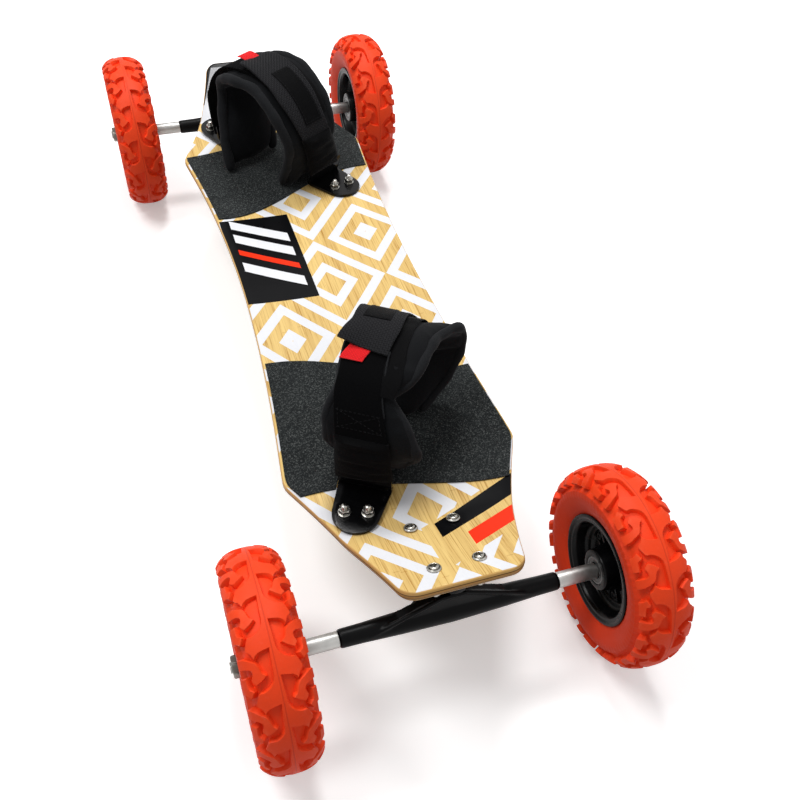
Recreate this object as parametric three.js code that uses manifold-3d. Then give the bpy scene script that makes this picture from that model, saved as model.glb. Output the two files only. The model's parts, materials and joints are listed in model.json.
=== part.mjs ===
// A mountainboard: a twin-tip ply deck on two sprung steering trucks with four knobbly air-tyred wheels,
// and two padded foot bindings set in a duck stance.
// Millimetres, +Z up, +X to the right, +Y to the rear. The origin is on the ground under the deck's middle.
import * as THREE from "three";
import { ConvexGeometry } from "three/addons/geometries/ConvexGeometry.js";
import { mergeVertices } from "three/addons/utils/BufferGeometryUtils.js";
import Module from "manifold-3d";

const wasm = await Module();
wasm.setup();

// Shared fits
const clearance = 0.3; // between pieces that touch
const overrun = 4; // how far a cutter passes the faces that it cuts

// Wheels
const tyreRadius = 100;
const tyreHalfWidth = 30;
const halfTrack = 171.75; // from the deck's middle to a wheel's middle
const beadRadius = 50; // where the tyre sits on the rim
const beadHalfWidth = 20;
const casingThickness = 5;
const treadDepth = 5;
const treadPitches = 14; // lugs round each side of the tyre
const centreBandHalfWidth = 5.5;
const rimFlangeRadius = 56;
const rimWall = 3;
const rimLip = 2;
const rimWebThickness = 6;
const hubRadius = 20;
const hubHalfWidth = 23;
const bearingRadius = 14;
const bearingWidth = 8;
const bearingLip = 2.2; // shoulder in the hub behind each bearing
const sleeveRadius = 8.2;
const rimBoltCircle = 31;
const rimBoltRadius = 4;
const rimBoltHeight = 3;

// Axles
const axleRadius = 6;
const axleThreadRadius = 5.2;
const spacerRadius = 8;
const axleNutRadius = 10.5; // over the corners
const axleNutHeight = 8;
const axleWasherRadius = 9.5;
const axleWasherThickness = 1.5;
const axleEndBeyondNut = 1.6;

// Trucks, measured square to the tip's underside and outward along it
const truckDistance = 398; // from the deck's middle to the middle of the bolt pattern
const truckHeight = 55.5; // underside of the tip to the axle
const axleOffset = 17.1; // the axle lies outward of the bolt pattern's middle
const baseLength = 84;
const baseWidth = 57;
const baseThickness = 7;
const baseCornerRadius = 8;
const boltSpacingAlong = 63.5;
const boltSpacingAcross = 42;
const pivotOffset = 27;
const pivotDrop = 15;
const pivotBallRadius = 5.6;
const pivotStemRadius = 4.6;
const pivotBossRadius = 14;
const pivotBossDepth = 17;
const cupWall = 2.6;
const cupDepthAbove = 7.4; // cup floor above the ball's middle
const cupMouthBelow = 2.6; // cup mouth below the ball's middle
const ringOffset = -13;
const ringDrop = 33;
const ringRadius = 15.5;
const ringThickness = 8;
const ringBoreRadius = 7;
const kingpinTilt = 33; // degrees from square to the tip
const kingpinRadius = 4.7;
const kingpinHeadRadius = 7.8;
const kingpinHeadHeight = 4;
const upperBushingHeight = 13;
const upperBushingRadius = 12.5;
const lowerBushingHeight = 10.5;
const lowerBushingRadius = 11.5;
const lowerBushingTipRadius = 8;
const kingpinWasherRadius = 10;
const kingpinWasherThickness = 1.6;
const kingpinNutRadius = 8;
const kingpinNutHeight = 7;
const kingpinEndBeyondNut = 2.5;
const kingpinBossRadius = 13.5;
const swingRoom = 1.1; // extra room round what the hanger swings past

// Hanger
const hangerHalfLength = 108;
const hangerEndRadius = 10;
const hangerMidRadius = 12;
const hangerEndChamfer = 1.2;
const faceWebFoot = 84; // half length of the outer web where it leaves the axle bar
const faceWebTop = 13;
const faceWebRise = 28;
const faceWebThickness = 11;
const ringWebFoot = 58;
const ringWebThickness = 10;
const ringWebTop = 13;

// Truck bolts
const boltRadius = 3;
const boltHoleRadius = 3.5;
const boltHeadRadius = 6.6;
const boltHeadHeight = 3;
const boltNutRadius = 6.2;
const boltNutHeight = 6;
const boltEndBeyondNut = 2.5;

// Deck
const deckThickness = 13;
const deckEdgeRound = 3;
const deckPastTruck = 54.5; // in plan, from the truck's bolt pattern to the end of the bent-up tip
const deckHalfLength = truckDistance + deckPastTruck;
const waistHalfWidth = 101.3;
const shoulderHalfWidth = 121.2; // virtual corner, before it is rounded
const shoulderBeforeTruck = 114;
const shoulderDistance = truckDistance - shoulderBeforeTruck;
const shoulderRounding = 3;
const waistCurveShare = 1.86; // power of the waist's curve
const tipHalfWidth = 55.8; // virtual corner, before it is rounded
const tipCornerRadius = 20;
const flankHollow = 5.9;
const deckCamber = 3.9;
const waistConcave = 6.3; // how far the edges stand above the centre line at the waist
const shoulderConcave = -3.7; // and at the shoulders, where they droop
const bendBeforeTruck = 36;
const bendDistance = truckDistance - bendBeforeTruck;
const bendSoftness = 9;
const tipAngle = 22.1; // degrees

// Grip sheets: how far each edge lies from the binding's middle, at the left and at the right side
const gripThickness = 1.2;
const gripInset = 1.5;
const gripCutShare = 1.05; // the cut-outs round the binding plates, against the plates
const gripEdges = {
  front: { inner: [129, 67], outer: [52, 83] },
  rear: { inner: [107, 54], outer: [33, 81] },
};

// Bindings
const bindingBeforeTruck = 147;
const bindingDistance = truckDistance - bindingBeforeTruck; // from the deck's middle to each binding's middle
const bindingAngle = 58.3; // degrees between the strap's run and the deck's width
const plateThickness = 3;
const plateCreaseHalfWidth = 26.5;
const plateEndRadius = 23;
const plateEndReach = 34.3; // crease to the middle of the rounded end
const plateBoltSpacing = 22;
const plateBoltTurn = 13.5; // degrees
const plateFlangeHeight = 24;
const plateBoltRadius = 3;
const plateWasherRadius = 6.2;
const plateWasherThickness = 1.3;
const plateNutRadius = 5.6;
const plateNutHeight = 5;
const plateBoltEnd = 5; // thread above the nut
const plateBoltHeadRadius = 6.5;
const plateBoltHeadHeight = 3;

const archHalfWidth = 86; // outside of the straps at the foot's sides
const archBaseHalfWidth = 80.2; // drawn in where they meet the plates
const archSpring = 52.2; // straight part of each leg
const archRise = 80; // round part above it
const legOffset = 8; // the two legs are staggered along the foot
const strapWidth = 52;
const strapThickness = 2.5;
const strapStart = 5; // above the binding's floor
const padThickness = 17;
const padEdgeThickness = 9;
const padFoldIn = 29; // how far the foot of each wing hangs in over the deck
const padEdgeDrop = 9; // how far the rounded edges lie below the middle
const padCrown = 2.5;
const padChannelDepth = 1.5;
const strapLean = { front: -27, rear: -3 }; // how far the straps' top leans along the foot
// The pads' two edges along the foot, from the left plate over the top to the right plate
const padStopShares = { front: [-1, -0.7, 0, 0.45, 0.7, 0.85, 1], rear: [-1, -0.7, 0, 0.7, 1] };
const padToeEdges = { front: [-46, -57, -47, -41, -39, -37, -34], rear: [-56, -64, -50, -50, -44] };
const padHeelEdges = { front: [33, 38, 45, 54, 53, 44, 30], rear: [24, 31, 40, 28, 25] };
const flapEndShares = { front: -0.13, rear: -0.14 }; // where the upper strap's flap ends, -1 left to 1 right
const archHeightShares = { front: 0.94, rear: 1 }; // the front straps are pulled down a little tighter
const tabWidth = 21;
const tabLength = 16;
const tabThickness = 1.4;

// Colours and finishes: colour, roughness, metalness
const finishes = {
  bamboo: [0xe0b66c, 0.45, 0],
  grip: [0x24282a, 0.95, 0],
  blackSteel: [0x0b0b0c, 0.25, 0.3],
  blackCast: [0x101112, 0.38, 0.3],
  steel: [0xc9c9c6, 0.3, 1],
  foam: [0x151617, 0.85, 0],
  webbing: [0x111213, 0.9, 0],
  redTab: [0xe3212c, 0.8, 0],
  tyreRubber: [0xe8462f, 0.6, 0],
  rimPlastic: [0x0c0c0d, 0.3, 0],
  urethane: [0x2b2b2d, 0.55, 0],
};

// Numbers of facets
const rimSides = 16;
const boreSides = 10;
const barSides = 12;
const boltSides = 8;
const nutSides = 6;
const legSteps = 3;
const archSteps = 12;
const gripEdgeSteps = 6;
const hairShare = 1e-9; // two shares closer than this are one

// General helpers

const radians = THREE.MathUtils.degToRad;
const lerp = THREE.MathUtils.lerp;
const clamp = THREE.MathUtils.clamp;
const vec = (x, y, z) => new THREE.Vector3(x, y, z);

// A polygon drawn round a circle, so that its flats clear it.
const around = (radius, sides) => radius / Math.cos(Math.PI / sides);

function toSolid(geometry) {
  const plain = geometry.index ? geometry.toNonIndexed() : geometry.clone();
  plain.deleteAttribute("normal");
  plain.deleteAttribute("uv");
  const merged = mergeVertices(plain, 1e-4);
  const kept = [];
  const index = merged.index.array;
  for (let i = 0; i < index.length; i += 3) {
    const [a, b, c] = [index[i], index[i + 1], index[i + 2]];
    if (a !== b && b !== c && c !== a) kept.push(a, b, c);
  }
  const build = () =>
    new wasm.Manifold(
      new wasm.Mesh({
        numProp: 3,
        vertProperties: new Float32Array(merged.attributes.position.array),
        triVerts: new Uint32Array(kept),
      }),
    );
  const solid = build();
  if (solid.volume() > 0) return solid;
  for (let i = 0; i < kept.length; i += 3) [kept[i], kept[i + 1]] = [kept[i + 1], kept[i]];
  return build();
}

function toGeometry(solid) {
  const mesh = solid.getMesh();
  const geometry = new THREE.BufferGeometry();
  geometry.setAttribute("position", new THREE.BufferAttribute(mesh.vertProperties, 3));
  geometry.setIndex(new THREE.BufferAttribute(mesh.triVerts, 1));
  return geometry;
}

function union(...solids) {
  return solids.reduce((sum, next) => sum.add(next));
}

// A closed skin over rings of points, each ring a loop; the ends are capped from their middles.
function loft(rings) {
  const points = rings.flat();
  const count = rings[0].length;
  const faces = [];
  for (let r = 0; r + 1 < rings.length; r++) {
    for (let i = 0; i < count; i++) {
      const a = r * count + i;
      const b = r * count + ((i + 1) % count);
      faces.push(a, b, b + count, a, b + count, a + count);
    }
  }
  for (const [start, flip] of [
    [0, true],
    [points.length - count, false],
  ]) {
    const middle = vec(0, 0, 0);
    for (let i = 0; i < count; i++) middle.add(points[start + i]);
    points.push(middle.divideScalar(count));
    const centre = points.length - 1;
    for (let i = 0; i < count; i++) {
      const a = start + i;
      const b = start + ((i + 1) % count);
      faces.push(...(flip ? [centre, b, a] : [centre, a, b]));
    }
  }
  const geometry = new THREE.BufferGeometry().setFromPoints(points);
  geometry.setIndex(faces);
  return toSolid(geometry);
}

// A solid of revolution about the X axis from a closed outline of [x, radius] points.
function revolve(outline, sides) {
  const loop = [...outline, outline[0]].map(([x, radius]) => new THREE.Vector2(radius, x));
  return toSolid(new THREE.LatheGeometry(loop, sides).rotateZ(-Math.PI / 2));
}

// The same, stood up along +Z, for bolts, nuts and bosses: [z, radius] points.
function turned(outline, sides) {
  const loop = [...outline, outline[0]].map(([z, radius]) => new THREE.Vector2(radius, z));
  return toSolid(new THREE.LatheGeometry(loop, sides).rotateX(Math.PI / 2));
}

function rod(from, to, radius, sides) {
  return turned([[from, 0], [from, radius], [to, radius], [to, 0]], sides);
}

function extrude(outline, from, to) {
  const shape = Array.isArray(outline) ? new THREE.Shape(outline.map(([x, y]) => new THREE.Vector2(x, y))) : outline;
  const options = { depth: to - from, bevelEnabled: false, curveSegments: 4 };
  return toSolid(new THREE.ExtrudeGeometry(shape, options).translate(0, 0, from));
}

// Moves a solid by a matrix.
function moved(solid, matrix) {
  return solid.transform(Array.from(matrix.elements));
}

// A frame whose +Z runs along a direction.
function along(origin, direction) {
  const turn = new THREE.Quaternion().setFromUnitVectors(vec(0, 0, 1), direction.clone().normalize());
  return new THREE.Matrix4().compose(origin, turn, vec(1, 1, 1));
}

function part(name, solid, finish) {
  const [color, roughness, metalness] = finishes[finish];
  const material = new THREE.MeshStandardMaterial({ color, roughness, metalness });
  const mesh = new THREE.Mesh(toGeometry(solid), material);
  mesh.name = name;
  return mesh;
}

// The deck's surface

const tipTurn = radians(tipAngle);
const tipSlope = Math.tan(tipTurn);

// Height of the bent-up tip above the flat middle, by distance from the deck's middle.
function bendRise(distance) {
  const soft = (past) => (past + Math.hypot(past, bendSoftness)) / 2;
  return tipSlope * (soft(distance - bendDistance) - soft(-bendDistance));
}

function camberRise(distance) {
  return deckCamber * (1 - Math.min((distance / shoulderDistance) ** 2, 1));
}

function waistLine(distance) {
  return waistHalfWidth + (shoulderHalfWidth - waistHalfWidth) * (distance / shoulderDistance) ** waistCurveShare;
}

function flankLine(distance) {
  const share = (distance - shoulderDistance) / (deckHalfLength - shoulderDistance);
  return lerp(shoulderHalfWidth, tipHalfWidth, share) - 4 * flankHollow * share * (1 - share);
}

function softMin(a, b, rounding) {
  return (a + b - Math.hypot(a - b, rounding)) / 2;
}

// The tip's corner is an arc that starts square to the flank and ends square to the deck's end.
const flankStep = tipCornerRadius / 20;
const flankLean = Math.atan(
  (flankLine(deckHalfLength - flankStep) - flankLine(deckHalfLength)) / flankStep,
);
const cornerStart = deckHalfLength - tipCornerRadius * (1 - Math.sin(flankLean));
const cornerMiddle = flankLine(cornerStart) - tipCornerRadius * Math.cos(flankLean);

function halfWidthAt(distance) {
  if (distance <= cornerStart) return softMin(waistLine(distance), flankLine(distance), shoulderRounding);
  const past = Math.min(distance - deckHalfLength + tipCornerRadius, tipCornerRadius);
  return cornerMiddle + Math.sqrt(tipCornerRadius ** 2 - past ** 2);
}

function concaveAt(distance) {
  const toShoulder = lerp(waistConcave, shoulderConcave, (distance / shoulderDistance) ** 2);
  const pastShoulder = (distance - shoulderDistance) / (bendDistance - shoulderDistance);
  return distance < shoulderDistance ? toShoulder : shoulderConcave * Math.max(0, 1 - pastShoulder);
}

function shapeRise(x, y) {
  const distance = Math.abs(y);
  const across = x / halfWidthAt(distance);
  return camberRise(distance) + bendRise(distance) + concaveAt(distance) * across ** 2;
}

// The deck's height follows from the wheels and the trucks: the axles lie at the height of the tyre's radius.
const mountHeight = tyreRadius + truckHeight * Math.cos(tipTurn) - axleOffset * Math.sin(tipTurn);
const deckBase = mountHeight + (deckThickness + clearance) / Math.cos(tipTurn) - shapeRise(0, truckDistance);
const axleDistance = truckDistance + axleOffset * Math.cos(tipTurn) + truckHeight * Math.sin(tipTurn);
const axleHeight = tyreRadius;

function deckTop(x, y) {
  return deckBase + shapeRise(x, y);
}

// A point below the deck's top by a depth, square to the top as seen from the side.
function deckPoint(x, y, depth) {
  const step = bendSoftness / 20;
  const slope = (deckTop(x, y + step) - deckTop(x, y - step)) / (2 * step);
  const square = Math.hypot(1, slope);
  return vec(x, y + (depth * slope) / square, deckTop(x, y) - depth / square);
}

// Distances at which the deck's cross-section is drawn, closer together where the outline turns.
function deckStations() {
  const found = [];
  const spread = (from, to, steps) => {
    for (let i = 0; i <= steps; i++) found.push(lerp(from, to, i / steps));
  };
  const cornerSpan = shoulderDistance / 20;
  const bendSpan = 1.6 * bendSoftness;
  spread(0, shoulderDistance - cornerSpan, 4);
  spread(shoulderDistance - cornerSpan, shoulderDistance + cornerSpan, 3);
  spread(shoulderDistance + cornerSpan, bendDistance - bendSpan, 1);
  spread(bendDistance - bendSpan, bendDistance + bendSpan, 4);
  spread(bendDistance + bendSpan, cornerStart, 2);
  for (let i = 1; i <= 4; i++) {
    const turn = lerp(flankLean, Math.PI / 2, i / 4);
    found.push(deckHalfLength - tipCornerRadius * (1 - Math.sin(turn)));
  }
  found.sort((a, b) => a - b);
  const least = deckEdgeRound / 4;
  const kept = [found[0]];
  for (const distance of found) if (distance - kept[kept.length - 1] > least) kept.push(distance);
  return [...kept.slice(1).reverse().map((distance) => -distance), ...kept];
}

const deckShares = [-1, -0.6, -0.25, 0.25, 0.6, 1];
const stations = deckStations();

// The height of the deck's facets, which lie a little off the curved surface that they stand for.
function facetTop(x, y) {
  const next = clamp(stations.findIndex((station) => station >= y), 1, stations.length - 1);
  const heights = [stations[next - 1], stations[next]].map((station) => {
    const flat = halfWidthAt(Math.abs(station)) - deckEdgeRound;
    const column = clamp(deckShares.findIndex((share) => share * flat >= x), 1, deckShares.length - 1);
    const [from, to] = [deckShares[column - 1] * flat, deckShares[column] * flat];
    return lerp(deckTop(from, station), deckTop(to, station), (x - from) / (to - from));
  });
  return lerp(heights[0], heights[1], (y - stations[next - 1]) / (stations[next] - stations[next - 1]));
}

function deckBody() {
  const rings = stations.map((y) => {
    const half = halfWidthAt(Math.abs(y));
    const flat = half - deckEdgeRound;
    const top = deckShares.map((share) => deckPoint(share * flat, y, 0));
    const bottom = deckShares.map((share) => deckPoint(-share * flat, y, deckThickness));
    const side = (sign, depth) => deckPoint(sign * half, y, depth);
    return [
      ...top,
      side(1, deckEdgeRound),
      side(1, deckThickness - deckEdgeRound),
      ...bottom,
      side(-1, deckThickness - deckEdgeRound),
      side(-1, deckEdgeRound),
    ];
  });
  return loft(rings);
}

// A frame laid on the deck's top at a point, turned about the deck's normal, and lifted clear of the outline's points.
function seatOnDeck(x, y, turn, outline, gap) {
  const step = bendSoftness / 20;
  const slopeX = (deckTop(x + step, y) - deckTop(x - step, y)) / (2 * step);
  const slopeY = (deckTop(x, y + step) - deckTop(x, y - step)) / (2 * step);
  const up = vec(-slopeX, -slopeY, 1).normalize();
  const frame = along(vec(x, y, deckTop(x, y)), up).multiply(new THREE.Matrix4().makeRotationZ(turn));
  let lift = 0;
  for (const [u, v] of outline) {
    const place = vec(u, v, 0).applyMatrix4(frame);
    lift = Math.max(lift, (facetTop(place.x, place.y) - place.z) * up.z);
  }
  return new THREE.Matrix4().makeTranslation(up.multiplyScalar(lift + gap)).multiply(frame);
}

// Bindings

// Unit vectors of a binding: run goes from its left leg to its right leg, foot along the rider's foot.
function bindingFrame(end) {
  const sign = end === "front" ? 1 : -1;
  const turn = radians(bindingAngle);
  return {
    end,
    middle: vec(0, -sign * bindingDistance, 0),
    run: vec(Math.cos(turn), sign * Math.sin(turn), 0),
    foot: vec(Math.sin(turn), -sign * Math.cos(turn), 0),
  };
}

function bindingFloor(binding) {
  const reach = archHalfWidth;
  let floor = 0;
  for (const share of [-1, -0.5, 0, 0.5, 1]) {
    const place = binding.middle.clone().addScaledVector(binding.run, share * reach);
    floor = Math.max(floor, deckTop(place.x, place.y));
  }
  return floor + gripThickness + clearance;
}

// A point of the arch over the foot, as [across, along the foot, height]. Travel runs from -1 at the left
// plate over the top to 1 at the right plate, and inset is the depth below the straps' outer face.
function archPoint(travel, inset) {
  const side = Math.sign(travel) || 1;
  const size = Math.abs(travel);
  if (size > 1 - legShare) {
    const down = (size - 1 + legShare) / legShare;
    const drawnIn = (archHalfWidth - archBaseHalfWidth) * down ** 2;
    return vec(side * (archHalfWidth - inset - drawnIn), 0, archSpring * (1 - down));
  }
  const turn = ((size / (1 - legShare)) * Math.PI) / 2;
  return vec(
    side * (archHalfWidth - inset) * Math.sin(turn),
    0,
    archSpring + (archRise - inset) * Math.cos(turn),
  );
}

const quarterLength = (Math.PI / 4) * (archHalfWidth + archRise);
const legShare = archSpring / (archSpring + quarterLength);
const travelPerLength = 1 / (archSpring + quarterLength);

// The travels at which every strap and pad bends, so that they lie parallel.
const knots = [];
for (let i = -legSteps; i < 0; i++) knots.push(-1 + (legShare * (i + legSteps)) / legSteps);
for (let i = 0; i <= archSteps; i++) knots.push(lerp(legShare - 1, 1 - legShare, i / archSteps));
for (let i = 1; i <= legSteps; i++) knots.push(1 - legShare + (legShare * i) / legSteps);

// Where the straps' centre line lies along the foot.
function strapShift(binding, travel) {
  const bump =
    THREE.MathUtils.smoothstep(travel, -1, -0.15) * (1 - THREE.MathUtils.smoothstep(travel, -0.15, 0.45));
  return legOffset * travel + strapLean[binding.end] * bump;
}

function inBinding(binding, floor, spot) {
  return binding.middle
    .clone()
    .addScaledVector(binding.run, spot.x)
    .addScaledVector(binding.foot, spot.y)
    .setZ(floor + spot.z * archHeightShares[binding.end]);
}

// A spot on the straight lines between the knots.
function strapSpot(binding, travel, inset) {
  const at = (knot) => archPoint(knot, inset).setY(strapShift(binding, knot));
  const next = clamp(knots.findIndex((knot) => knot >= travel - hairShare), 1, knots.length - 1);
  const share = (travel - knots[next - 1]) / (knots[next] - knots[next - 1]);
  return at(knots[next - 1]).lerp(at(knots[next]), share);
}

// A strap through the given travels and the knots between them.
function strapBand(binding, floor, travels, width, insetAt, thickness) {
  const [from, to] = [travels[0], travels[travels.length - 1]];
  const all = [...travels, ...knots.filter((knot) => knot > from && knot < to)].sort((a, b) => a - b);
  const rings = all.map((travel) => {
    const corner = (inset, side) => {
      const spot = strapSpot(binding, travel, inset);
      return inBinding(binding, floor, spot.setY(spot.y + (side * width) / 2));
    };
    const inset = insetAt(travel);
    return [corner(inset, -1), corner(inset, 1), corner(inset + thickness, 1), corner(inset + thickness, -1)];
  });
  return loft(rings);
}

const flangeInset = strapThickness + clearance;
const padInset = flangeInset + plateThickness + clearance;

// A pad's edge at a travel, on straight lines between its stops.
function padEdgeAt(edges, binding, travel) {
  const stops = padStopShares[binding.end];
  const next = clamp(stops.findIndex((stop) => stop >= travel), 1, stops.length - 1);
  const share = (travel - stops[next - 1]) / (stops[next] - stops[next - 1]);
  return lerp(edges[binding.end][next - 1], edges[binding.end][next], share);
}

// The foam liner: one thick arch whose two legs spread into wings and hang in over the deck at their feet.
function linerPad(binding, floor) {
  const shares = [-1, -0.82, -0.45, 0, 0.45, 0.82, 1];
  const ends = knots.length - 1;
  const rings = knots.map((travel, i) => {
    const size = Math.abs(travel);
    const side = Math.sign(travel);
    const foot = THREE.MathUtils.smoothstep(size, 0.75, 1);
    const toe = padEdgeAt(padToeEdges, binding, travel);
    const heel = padEdgeAt(padHeelEdges, binding, travel);
    const [half, shift] = [(heel - toe) / 2, (heel + toe) / 2];
    const fold = padFoldIn * THREE.MathUtils.smoothstep(size, 0.62, 1);
    const fullness = i === 0 || i === ends ? 0.55 : 1;
    const layer = (share, inner) => {
      const edge = Math.abs(share) ** 3;
      const thickness = (lerp(padThickness, padEdgeThickness, edge) + padCrown * (1 - share ** 2)) * fullness;
      const channel = Math.abs(share) === 0.45 ? padChannelDepth : 0;
      const rest = padInset + padEdgeDrop * edge * (1 - foot);
      const spot = archPoint(travel, inner ? rest + thickness - channel : rest);
      return inBinding(binding, floor, vec(spot.x - side * fold, shift + share * half, spot.z));
    };
    return [
      ...shares.map((share) => layer(share, false)),
      ...[...shares].reverse().map((share) => layer(share, true)),
    ];
  });
  return loft(rings);
}

const flapOverlap = strapWidth; // length of the lower strap under the flap

function tabEnd(binding) {
  return flapEndShares[binding.end] - (tabLength + strapThickness) * travelPerLength;
}

function lowerStrap(binding, floor) {
  const dip = tabEnd(binding);
  const start = dip - 2 * tabWidth * travelPerLength;
  const under = strapThickness + clearance;
  const insetAt = (travel) => under * clamp((travel - start) / (dip - start), 0, 1);
  const travels = [
    -1 + strapStart * travelPerLength,
    start,
    dip,
    flapEndShares[binding.end] + flapOverlap * travelPerLength,
  ];
  return strapBand(binding, floor, travels, strapWidth - 2 * clearance, insetAt, strapThickness);
}

function upperStrap(binding, floor) {
  const travels = [flapEndShares[binding.end], 1 - strapStart * travelPerLength];
  return strapBand(binding, floor, travels, strapWidth, () => 0, strapThickness);
}

function pullTab(binding, floor) {
  const to = flapEndShares[binding.end] - clearance * travelPerLength;
  const travels = [to - tabLength * travelPerLength, to];
  const inset = (strapThickness - tabThickness) / 2;
  return strapBand(binding, floor, travels, tabWidth, () => inset, tabThickness);
}

// The flat D of a binding plate: tangents from the crease's ends to the rounded end.
function plateOutline() {
  const toCorner = Math.atan2(-plateEndReach, plateCreaseHalfWidth);
  const open = Math.acos(plateEndRadius / Math.hypot(plateCreaseHalfWidth, plateEndReach));
  const start = toCorner + open;
  const steps = 8;
  const outline = [
    [-plateCreaseHalfWidth, 0],
    [plateCreaseHalfWidth, 0],
  ];
  for (let i = 0; i <= steps; i++) {
    const turn = lerp(start, Math.PI - start, i / steps);
    outline.push([plateEndRadius * Math.cos(turn), plateEndReach + plateEndRadius * Math.sin(turn)]);
  }
  return outline;
}

// The plate's own frame: +Y outward from the crease, +Z up from the deck, and zero at its underside.
function plateSeat(binding, side) {
  const crease = archPoint(side, flangeInset + plateThickness).setY(side * legOffset);
  const place = inBinding(binding, 0, crease);
  const outward = binding.run.clone().multiplyScalar(side);
  const turn = Math.atan2(outward.y, outward.x) - Math.PI / 2;
  return seatOnDeck(place.x, place.y, turn, plateOutline(), clearance);
}

// The frames of a plate's two bolts, whose line is turned toward the deck's width.
function plateBoltFrames(seat) {
  const acrossPlate = vec(1, 0, 0).transformDirection(seat);
  const turn = radians(plateBoltTurn) * (acrossPlate.x * acrossPlate.y > 0 ? -1 : 1);
  return [-0.5, 0.5].map((share) => {
    const reach = share * plateBoltSpacing;
    const shift = vec(reach * Math.cos(turn), plateEndReach + reach * Math.sin(turn), 0);
    return seat.clone().multiply(new THREE.Matrix4().makeTranslation(shift));
  });
}

function bindingPlate(binding, floor, side) {
  const seat = plateSeat(binding, side);
  const half = plateCreaseHalfWidth - clearance;
  const hand = binding.end === "front" ? side : -side;
  const upper = [1, 0.5].map((share) => {
    const spot = (inset, end) => {
      const at = archPoint(side * (1 - share * plateFlangeHeight * travelPerLength), inset);
      return inBinding(binding, floor, at.setY(side * legOffset + end * hand * half));
    };
    const [outer, inner] = [flangeInset, flangeInset + plateThickness];
    return [spot(outer, 1), spot(outer, -1), spot(inner, -1), spot(inner, 1)];
  });
  const foot = [
    [half, plateThickness],
    [-half, plateThickness],
    [-half, clearance],
    [half, clearance],
  ].map(([u, v]) => vec(u, v, plateThickness / 3).applyMatrix4(seat));
  let plate = moved(extrude(plateOutline(), 0, plateThickness), seat).add(loft([...upper, foot]));
  for (const frame of plateBoltFrames(seat)) {
    const place = vec(0, 0, 0).applyMatrix4(frame);
    const under = deckPoint(place.x, place.y, deckThickness).applyMatrix4(frame.clone().invert());
    plate = plate.add(moved(plateBolt(2 * clearance - under.z), frame));
  }
  return plate;
}

// A bolt through plate and deck with its head below, and a washer and nut on the plate.
function plateBolt(depth) {
  const washerTop = plateThickness + plateWasherThickness;
  const nutTop = washerTop + plateNutHeight;
  const shaft = turned(
    [
      [-depth - plateBoltHeadHeight, 0],
      [-depth - plateBoltHeadHeight, plateBoltHeadRadius * 0.7],
      [-depth, plateBoltHeadRadius],
      [-depth, plateBoltRadius],
      [nutTop + plateBoltEnd, plateBoltRadius],
      [nutTop + plateBoltEnd, 0],
    ],
    boltSides,
  );
  const washer = rod(plateThickness / 2, washerTop, plateWasherRadius, boltSides);
  return union(shaft, washer, rod(plateThickness / 2, nutTop, plateNutRadius, nutSides));
}

function addBinding(root, end) {
  const binding = bindingFrame(end);
  const floor = bindingFloor(binding);
  for (const [name, side] of [
    ["left", -1],
    ["right", 1],
  ]) {
    root.add(part(`${end}_${name}_binding_plate`, bindingPlate(binding, floor, side), "blackSteel"));
  }
  root.add(
    part(`${end}_binding_pad`, linerPad(binding, floor), "foam"),
    part(`${end}_lower_strap`, lowerStrap(binding, floor), "webbing"),
    part(`${end}_upper_strap`, upperStrap(binding, floor), "webbing"),
    part(`${end}_pull_tab`, pullTab(binding, floor), "redTab"),
  );
}

// Grip sheets

function gripSheet(end, deck) {
  const sign = end === "front" ? -1 : 1;
  const edge = (pair) => {
    const line = [];
    for (let i = 0; i <= gripEdgeSteps; i++) {
      const share = lerp(-1, 1, i / gripEdgeSteps);
      const distance = lerp(pair[0], pair[1], THREE.MathUtils.smoothstep(share, -0.9, 0.9));
      line.push([share * (halfWidthAt(distance) - deckEdgeRound - gripInset), sign * distance]);
    }
    return line;
  };
  const inner = gripEdges[end].inner.map((reach) => bindingDistance - reach);
  const outer = gripEdges[end].outer.map((reach) => bindingDistance + reach);
  const side = (sideSign, from, to) =>
    stations
      .filter((station) => sign * station > from && sign * station < to)
      .map((station) => [sideSign * (halfWidthAt(Math.abs(station)) - deckEdgeRound - gripInset), station]);
  const byDistance = (a, b) => Math.abs(a[1]) - Math.abs(b[1]);
  const outline = [
    ...edge(inner),
    ...side(1, inner[1], outer[1]).sort(byDistance),
    ...edge(outer).reverse(),
    ...side(-1, inner[0], outer[0]).sort(byDistance).reverse(),
  ];
  const raised = (height) => moved(deck, new THREE.Matrix4().makeTranslation(0, 0, height));
  let sheet = raised(clearance + gripThickness).subtract(raised(clearance));
  sheet = sheet.intersect(extrude(outline, deckBase - deckThickness / 2, deckBase + 2 * deckThickness));
  const binding = bindingFrame(end);
  for (const plateSide of [-1, 1]) {
    const hole = plateOutline().map(([x, y]) => [x * gripCutShare, y * gripCutShare - gripInset]);
    sheet = sheet.subtract(moved(extrude(hole, -deckThickness, deckThickness), plateSeat(binding, plateSide)));
  }
  return sheet;
}

// Trucks. In a truck's own frame +Y points outward along the tip, +Z out of the tip's top, and the tip's
// underside lies at zero.

const pivotPoint = vec(0, pivotOffset, -pivotDrop);
const ringPoint = vec(0, ringOffset, -ringDrop);
const axlePoint = vec(0, axleOffset, -truckHeight);
const kingpinDown = vec(0, -Math.sin(radians(kingpinTilt)), -Math.cos(radians(kingpinTilt)));
const stemDown = axlePoint.clone().sub(pivotPoint).normalize();
const bushingSeat = ringThickness / 2 + upperBushingHeight + clearance;
const kingpinFrame = along(ringPoint, kingpinDown);
const pivotFrame = along(pivotPoint, stemDown);

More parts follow.
